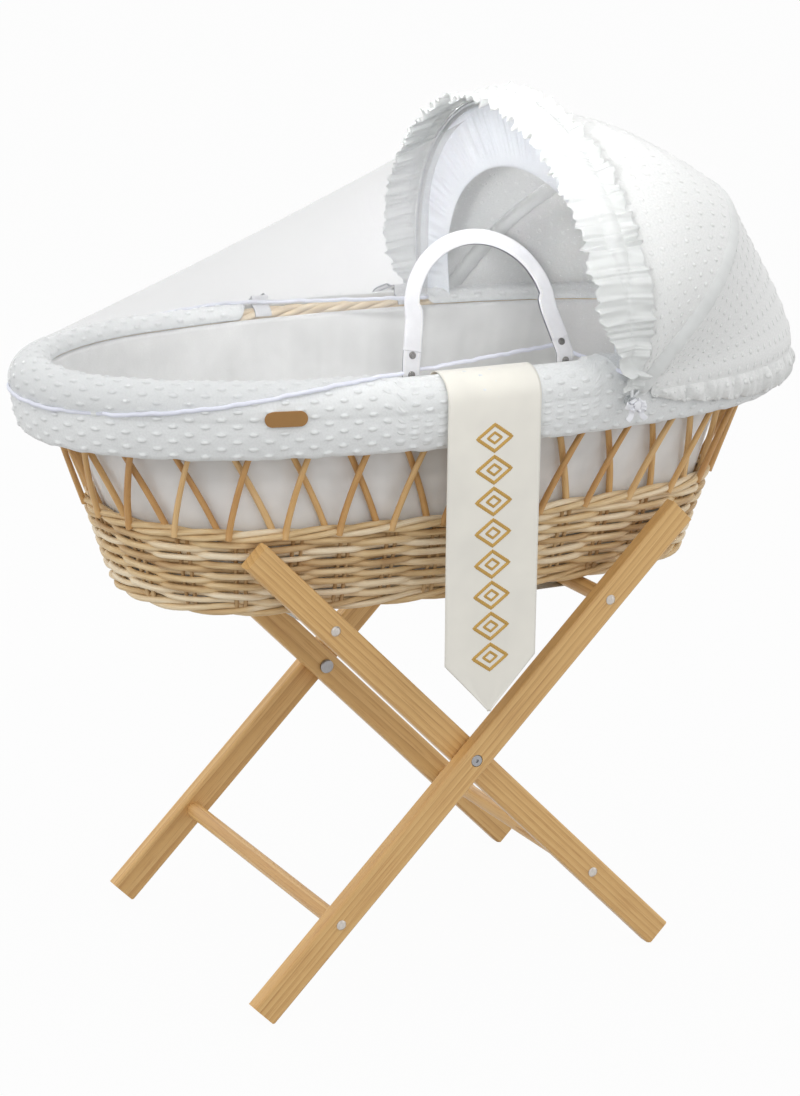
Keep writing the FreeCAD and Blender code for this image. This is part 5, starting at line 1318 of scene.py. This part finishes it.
# %% Pine
def pine(name, turn, shift):
    """Varnished pine whose grain is turned to run along the piece, cut from its own place in the plank."""
    wood = Finish(name, IOR=1.45, Coat_Weight=0.15, Coat_Roughness=0.3)
    where = wood.places("Object", turn=turn, shift=shift)
    stretched = wood.node("Mapping", Vector=where, Scale=(1, 1, 0.07))
    warped = wood.node("VectorMath", settings={"operation": "ADD"}, _0=stretched, _1=wood.node(
        "VectorMath", settings={"operation": "SCALE"}, _0=wood.noise(stretched, 9.0), Scale=0.02))
    rings = wood.node("TexWave", 1, {"wave_type": "RINGS", "rings_direction": "Z", "wave_profile": "SAW"},
                      Vector=warped, Scale=44.0, Distortion=1.2, Detail=2.0, Detail_Scale=1.5)
    pores = wood.noise(wood.node("Mapping", Vector=where, Scale=(1, 1, 0.025)), 700.0, 4.0, 0.7)
    patches = wood.noise(wood.node("Mapping", Vector=where, Scale=(1, 1, 0.25)), 14.0, 2.0)
    color = wood.ramp(rings, (0.0, paint(228, 188, 126)), (0.6, paint(218, 174, 110)), (1.0, paint(196, 148, 88)))
    color = wood.mix(wood.math("MULTIPLY", patches, 0.5), color, paint(230, 190, 130))
    streak = wood.ramp(pores, (0.33, paint(190, 138, 78)), (0.5, paint(255, 255, 255)))
    color = wood.mix(0.38, color, streak, "MULTIPLY")
    rough = wood.math("MULTIPLY_ADD", pores, 0.18, 0.36)
    return wood.done(Base_Color=color, Roughness=rough, Normal=wood.bump(pores, 0.12, 0.0006))


dress(pine("pine_outer_legs", (0, -45, 0), (0.03, 0.16, 0)), "outer_leg_front", "outer_leg_back")
dress(pine("pine_inner_legs", (0, 45, 0), (0.05, 0.12, 0.3)), "inner_leg_front", "inner_leg_back")
dress(pine("pine_rails", (90, 0, 0), (0.31, 0.21, 0)),
      "outer_upper_rail", "outer_lower_rail", "inner_upper_rail", "inner_lower_rail")


# %% Metals and hard plastics
def metal(name, color, rough):
    """Metal with fine scratches, worn a little brighter and duller in patches."""
    finish = Finish(name, Metallic=1.0)
    scratches = finish.noise(finish.places("Object", (1, 1, 0.2)), 900.0, 3.0, 0.7)
    shade = finish.ramp(scratches, (0.3, darker(color, 0.86)), (0.7, paint(*color)))
    return finish.done(Base_Color=shade, Roughness=finish.math("MULTIPLY_ADD", scratches, 0.2, rough),
                       Normal=finish.bump(scratches, 0.05, 0.0003))


dress(metal("zinc_screws", (214, 208, 200), 0.22), "outer_rail_screws", "inner_rail_screws")
dress(metal("steel_bolts", (176, 176, 178), 0.28), "pivot_bolts", "pivot_nuts")
dress(metal("nickel_studs", (150, 148, 146), 0.16), "tab_snaps", "handle_front_snaps", "handle_back_snaps")
dress(metal("painted_wire", (226, 228, 230), 0.35), "hood_rear_hoop", "hood_front_hoop", "hood_pivot_pins")

plastic = Finish("washer_plastic", IOR=1.46)
grain = plastic.noise(plastic.places("Object"), 1500.0)
dress(plastic.done(
    Base_Color=plastic.ramp(grain, (0.3, paint(196, 194, 188)), (0.7, paint(212, 210, 204))),
    Roughness=0.45, Normal=plastic.bump(grain, 0.08, 0.0003),
), "pivot_washers")


# %% Willow
def willow(name, dark, middle, light, rough):
    """The tone of each rod picks its colour; streaks and small knots run along it."""
    finish = Finish(name, IOR=1.45)
    tone = finish.node("Attribute", 2, {"attribute_name": "tone"})
    streaks = finish.noise(finish.places("UV", (1, 60, 1)), 26.0, 4.0, 0.65)
    patches = finish.noise(finish.places("UV", (1, 3, 1)), 22.0, 2.0)
    pick = finish.math("MULTIPLY_ADD", patches, 0.7, finish.math("MULTIPLY_ADD", tone, 0.75, -0.22))
    color = finish.ramp(pick, (0.05, paint(*dark)), (0.45, paint(*middle)), (0.9, paint(*light)))
    streak = finish.ramp(streaks, (0.3, paint(196, 160, 118)), (0.55, (1, 1, 1, 1)))
    color = finish.mix(0.5, color, streak, "MULTIPLY")
    return finish.done(Base_Color=color, Roughness=rough, Normal=finish.bump(streaks, 0.35, 0.0005))


weave_pieces = [piece for piece in basket_weave if piece not in (outer_rods, inner_rods)]
dress(willow("woven_willow", (160, 118, 72), (228, 200, 152), (250, 236, 208), 0.5), *weave_pieces)
dress(willow("upright_willow", (190, 140, 84), (217, 173, 111), (233, 199, 146), 0.42), outer_rods, inner_rods)


# %% Cloth
def cloth(name, color, rough=0.85, threads=900.0, sheen=0.25, bump=0.25, shade=0.93, through=0.0):
    """Plain woven or knitted cloth: crossed fine threads in the UV map, and slow patches of shade.

    through is the share of the light that spreads inside it, so that the far side glows.
    """
    finish = Finish(name, Roughness=rough, Sheen_Weight=sheen, Sheen_Roughness=0.5, IOR=1.4)
    if through:
        finish.put(finish.shader, {"Subsurface_Weight": through, "Subsurface_Radius": (0.006, 0.006, 0.006)})
    fine = finish.noise(finish.places("UV"), threads, 2.0)
    slow = finish.noise(finish.places("UV"), 18.0, 2.0)
    warp, weft = (finish.bands(finish.places("UV"), threads / 3, 0.6, direction) for direction in "XY")
    height = finish.math("ADD", finish.math("MULTIPLY", warp, weft), fine)
    tint = finish.ramp(slow, (0.3, darker(color, shade)), (0.7, paint(*color)))
    return finish.done(Base_Color=tint, Normal=finish.bump(height, bump, 0.0004))


def plush(name, color, first, second, half_first, half_second, through):
    """Short soft pile: fine noise for the pile; the raised dots, staggered as in the mesh, keep the full colour as a
    painted highlight, and the pile between them is a little darker as painted shade.

    first and second are the parts of the UV map that the dots' columns and rows are counted along.
    """
    finish = Finish(name, Roughness=0.95, Sheen_Weight=0.5, Sheen_Roughness=0.4, IOR=1.35)
    finish.put(finish.shader, {"Subsurface_Weight": through, "Subsurface_Radius": (0.006, 0.006, 0.006)})
    pile = finish.noise(finish.places("UV"), 2200.0, 2.0, 0.7)
    tufts = finish.noise(finish.places("UV"), 420.0, 2.0)
    apart = finish.tree.nodes.new("ShaderNodeSeparateXYZ")
    finish.tree.links.new(finish.places("UV"), apart.inputs[0])
    row = finish.math("ROUND", finish.math("DIVIDE", apart.outputs[second], dot_rows))
    shift = finish.math("MULTIPLY", finish.math("FLOORED_MODULO", row, 2.0), 0.5)
    column = finish.math("SUBTRACT", finish.math("DIVIDE", apart.outputs[first], dot_columns), shift)
    beside = finish.math("SUBTRACT", column, finish.math("ROUND", column))
    across = finish.math("MULTIPLY", beside, dot_columns / half_first)
    up = finish.math("DIVIDE", finish.math("MULTIPLY_ADD", row, -dot_rows, apart.outputs[second]), half_second)
    off = finish.math("MULTIPLY_ADD", across, across, finish.math("MULTIPLY", up, up))
    dot = finish.ramp(off, (0.35, (1, 1, 1, 1)), (1.0, (0, 0, 0, 1)))
    # painted light: between the dots the pile is 0.955 to 0.985 of the colour, as painted shade in the hollows, and on
    # the dots it is the full colour, as a painted highlight on their raised tops
    tint = finish.ramp(tufts, (0.35, darker(color, 0.955)), (0.62, darker(color, 0.985)))
    tint = finish.mix(dot, tint, paint(*color))
    height = finish.math("ADD", finish.math("MULTIPLY", pile, 0.6), tufts)
    bumps = finish.bump(height, 0.2, 0.0006, Normal=finish.bump(dot, 0.6, 0.0015))
    return finish.done(Base_Color=tint, Normal=bumps)


dress(plush("dotted_plush", (240, 242, 242), 0, 1, *skirt_dot, 0.2), skirt)
dress(plush("hood_plush", (241, 242, 241), 1, 0, *hood_dot, 0.9), canopy, back_panel)
dress(cloth("cotton_lining", (249, 249, 248), threads=1100.0, through=0.4), lining)
dress(cloth("mattress_cover", (246, 246, 245), threads=500.0, bump=0.4), mattress)
dress(cloth("ivory_satin", (246, 243, 233), 0.42, 1600.0, 0.35, 0.1, 0.97), sash)
dress(cloth("white_satin", (230, 232, 231), 0.5, 1500.0, 0.35, 0.15, 0.95, 0.4), frill, binding)
dress(cloth("facing_cloth", (240, 244, 252), 0.6, 1300.0, 0.3, 0.15, 0.97, 0.5), facing)
dress(cloth("white_ribbon", (246, 247, 252), 0.5, 1500.0, 0.35, 0.15, 0.97, 0.3), ribbons)
dress(cloth("net_tape", (236, 238, 250), 0.6, 900.0, 0.3, 0.2, 0.97), net_tape)

gold = Finish("gold_thread", Metallic=0.55, Roughness=0.38)
thread = gold.bands(gold.places("UV"), 420.0, 1.0)
dress(gold.done(
    Base_Color=gold.ramp(thread, (0.1, paint(168, 124, 52)), (0.8, paint(222, 184, 104))),
    Normal=gold.bump(thread, 0.5, 0.0004),
), gold_motif)

# %% Leather, webbing and net
def leather(name, color, edge, rough):
    """Grained leather; where tone is 1 the cut edge shows, and where it is 2 a stitch."""
    finish = Finish(name, IOR=1.48)
    tone = finish.node("Attribute", 2, {"attribute_name": "tone"})
    cells = finish.node("TexVoronoi", 0, Vector=finish.places("Object"), Scale=900.0)
    soft = finish.noise(finish.places("Object"), 45.0, 3.0)
    shade = finish.ramp(soft, (0.3, darker(color, 0.95)), (0.7, paint(*color)))
    for mark, marked in ((1.0, edge), (2.0, (236, 235, 230))):
        shade = finish.mix(finish.math("COMPARE", tone, mark, 0.4), shade, paint(*marked))
    return finish.done(Base_Color=shade, Roughness=finish.math("MULTIPLY_ADD", soft, 0.15, rough),
                       Normal=finish.bump(cells, 0.12, 0.0004))


handle_pieces = (front_straps, back_straps, front_grip, back_grip)
dress(leather("white_leather", (226, 226, 229), (106, 106, 114), 0.36), *handle_pieces)
dress(leather("brown_leather", (160, 118, 66), (120, 84, 44), 0.5), "leather_badge")

web = Finish("webbing", Roughness=0.8, Sheen_Weight=0.2)
ribs = web.bands(web.places("UV"), 210.0, 0.3, "DIAGONAL")
dress(web.done(
    Base_Color=web.ramp(ribs, (0.1, paint(205, 203, 196)), (0.7, paint(238, 236, 230))),
    Normal=web.bump(ribs, 0.6, 0.0007),
), webbing)

veil = Finish("insect_net", Roughness=0.7)
weave = veil.noise(veil.places("UV"), 900.0, 1.0)
dress(veil.done(
    Base_Color=veil.ramp(veil.noise(veil.places("UV"), 30.0), (0.3, paint(200, 201, 203)), (0.7, paint(208, 209, 210))),
    Alpha=veil.math("MULTIPLY_ADD", weave, 0.2, 0.14),
), net)

# %% [markdown]
# Most pieces are tied to the CAD body that they move with. A piece that spans a joint, such as a handle, the canopy or
# the back panel, is tied to none. The net and the straps under the basket crumple when the hood or the stand folds.

# %% What each piece rides on
for piece in (*basket_weave, lining, mattress, skirt, sash, gold_motif, ribbons):
    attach(piece, "basket")
for piece in (frill, facing, net, net_tape):
    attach(piece, "hood_front")
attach(binding, "hood_rear")
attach(webbing, "outer_frame")


def bend_between(piece, middle, direction):
    """Bakes the piece's placement into its points; it does not blend, and the middle and the direction are not used."""
    middle, direction = np.array(middle), unit(np.array(direction, dtype=float))
    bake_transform(piece)


for side, name, straps_made, grip_made, bend in (
    (-1, "front", front_straps, front_grip, front_bend), (1, "back", back_straps, back_grip, back_bend),
):
    lower, upper = (np.array([0.0, side * math.sin(a), math.cos(a)]) for a in np.radians(handle_turns[side]))
    at_hinge = (handle_places[side], side * hinge_y, hinge_z)
    bend_between(straps_made, at_hinge, lower + [0.0, 0.0, 1.0])
    bend_between(grip_made, (handle_places[side], *bend), lower + upper)

half_way = unit(front_hoop.up + rear_hoop.up)
canopy_reach, panel_reach = 95 * mm, 75 * mm
bend_between(canopy, pivot, [-half_way[2], 0.0, half_way[0]])
panel_middle = pivot + rear_hoop.normal * panel_reach
bend_between(back_panel, panel_middle, -rear_hoop.normal)
for piece in (net, net_tape):
    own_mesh(piece)
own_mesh(webbing)

# %% What each piece stands for
for piece, node in basket_weave.items():
    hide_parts(node)
for piece, names in {
    lining: ["liner"], mattress: ["mattress"], skirt: ["skirt"], sash: ["sash"],
    front_straps: ["handle_tabs", "handle_front_straps"], back_straps: ["handle_back_straps"],
    front_grip: ["handle_front_grip"], back_grip: ["handle_back_grip"],
    canopy: ["hood_canopy"], back_panel: ["hood_back_panel"], frill: ["hood_ruffle"], binding: ["hood_rear_binding"],
    net: ["mosquito_net"], webbing: ["support_straps"], ribbons: ["hood_ties"],
}.items():
    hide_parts(*names)


# %% [markdown]
# The floor and the world are plain and pale. The camera sees them as white through Light Path's Is Camera Ray, so
# that no lamp has to be strong for it, and the floor still holds a faint shadow.

# %% Floor, world and lamps
def seen_directly(tree):
    """1 for a ray from the camera, off a gloss or through a clear thing, and 0 for the light that falls on things."""
    rays = tree.nodes.new("ShaderNodeLightPath").outputs
    seen = rays["Is Camera Ray"]
    for kind in ("Is Glossy Ray", "Is Transmission Ray"):
        either = tree.nodes.new("ShaderNodeMath")
        either.operation = "MAXIMUM"
        tree.links.new(seen, either.inputs[0])
        tree.links.new(rays[kind], either.inputs[1])
        seen = either.outputs[0]
    return seen


def pale_stage():
    """A wide square just under the feet: grey where light falls on it, and nearly white to the camera."""
    edge, below = 30.0, 0.5 * mm
    corners = points_at(np.array([-edge, edge, edge, -edge]), np.array([-edge, -edge, edge, edge]), -below)
    floor = make_object("pale_floor", corners, np.array([[0, 1, 2, 3]]), smooth=False)
    finish = Finish("pale_floor", Base_Color=paint(186, 186, 186), Roughness=0.9)
    glow = finish.node("Emission", Color=(1, 1, 1, 1), Strength=1.0)
    share = finish.math("MULTIPLY", seen_directly(finish.tree), 0.96)
    mixed = finish.node("MixShader", _0=share, _1=finish.shader.outputs[0], _2=glow)
    finish.tree.links.new(mixed, finish.tree.nodes["Material Output"].inputs["Surface"])
    dress(finish.material, floor)


pale_stage()
world = bpy.data.worlds.new("pale_room")
bpy.context.scene.world = world
world.use_nodes = True
tree = world.node_tree
tree.nodes.clear()
choose = tree.nodes.new("ShaderNodeMixShader")
tree.links.new(seen_directly(tree), choose.inputs[0])
light_level, shown_level = 0.88, 1.0
for place, level in enumerate((light_level, shown_level), 1):
    room = tree.nodes.new("ShaderNodeBackground")
    room.inputs["Color"].default_value = (1, 1, 1, 1)
    room.inputs["Strength"].default_value = level
    tree.links.new(room.outputs[0], choose.inputs[place])
tree.links.new(choose.outputs[0], tree.nodes.new("ShaderNodeOutputWorld").inputs["Surface"])


def lamp(name, place, size, power, aim=(0, 0, 0.5), spread=180):
    """A square area lamp that faces the basket, or another place."""
    light = bpy.data.lights.new(name, "AREA")
    light.shape, light.size, light.energy, light.spread = "SQUARE", size, power, math.radians(spread)
    shown = bpy.data.objects.new(name, light)
    shown.location = place
    shown.rotation_euler = (Vector(aim) - Vector(place)).to_track_quat("-Z", "Y").to_euler()
    bpy.context.scene.collection.objects.link(shown)


# name, place, width, power, and where it points and its spread in degrees
lamp("key_lamp", (-2.6, -1.7, 3.3), 2.0, 9.5)
lamp("top_lamp", (-0.5, -0.2, 3.3), 2.4, 8.0)
lamp("foot_lamp", (-2.9, 0.3, 1.4), 1.6, 7.0)
lamp("hood_lamp", (-1.7, -2.0, 1.15), 0.25, 0.24, (0.28, 0.15, 0.86), 10)
lamp("lining_lamp", (-1.0, -1.9, 2.3), 0.3, 0.3, (-0.08, 0.2, 0.72), 14)
lamp("fill_lamp", (2.8, -2.2, 1.6), 2.4, 9.0)
lamp("back_lamp", (0.6, 2.6, 2.8), 2.0, 14.0)

# %% Camera
azimuth, elevation, roll_turn = np.radians([-27.41, 15.49, 0.79])
back = np.array([
    math.sin(azimuth) * math.cos(elevation), -math.cos(azimuth) * math.cos(elevation), math.sin(elevation),
])
right = np.array([math.cos(azimuth), math.sin(azimuth), 0.0])
top = np.cross(back, right)
turned_right = right * math.cos(roll_turn) + top * math.sin(roll_turn)
turned_top = -right * math.sin(roll_turn) + top * math.cos(roll_turn)
camera_place = (-1.550, -2.964, 1.3647)
view = bpy.data.cameras.new("view")
view.sensor_fit, view.sensor_height, view.lens = "VERTICAL", 36.0, 103.2
camera = bpy.data.objects.new("view", view)
turn = Matrix(np.column_stack([turned_right, turned_top, back]).tolist()).to_4x4()
camera.matrix_world = Matrix.Translation(camera_place) @ turn
bpy.context.scene.collection.objects.link(camera)
bpy.context.scene.camera = camera
bpy.context.scene.view_settings.view_transform = "Standard"
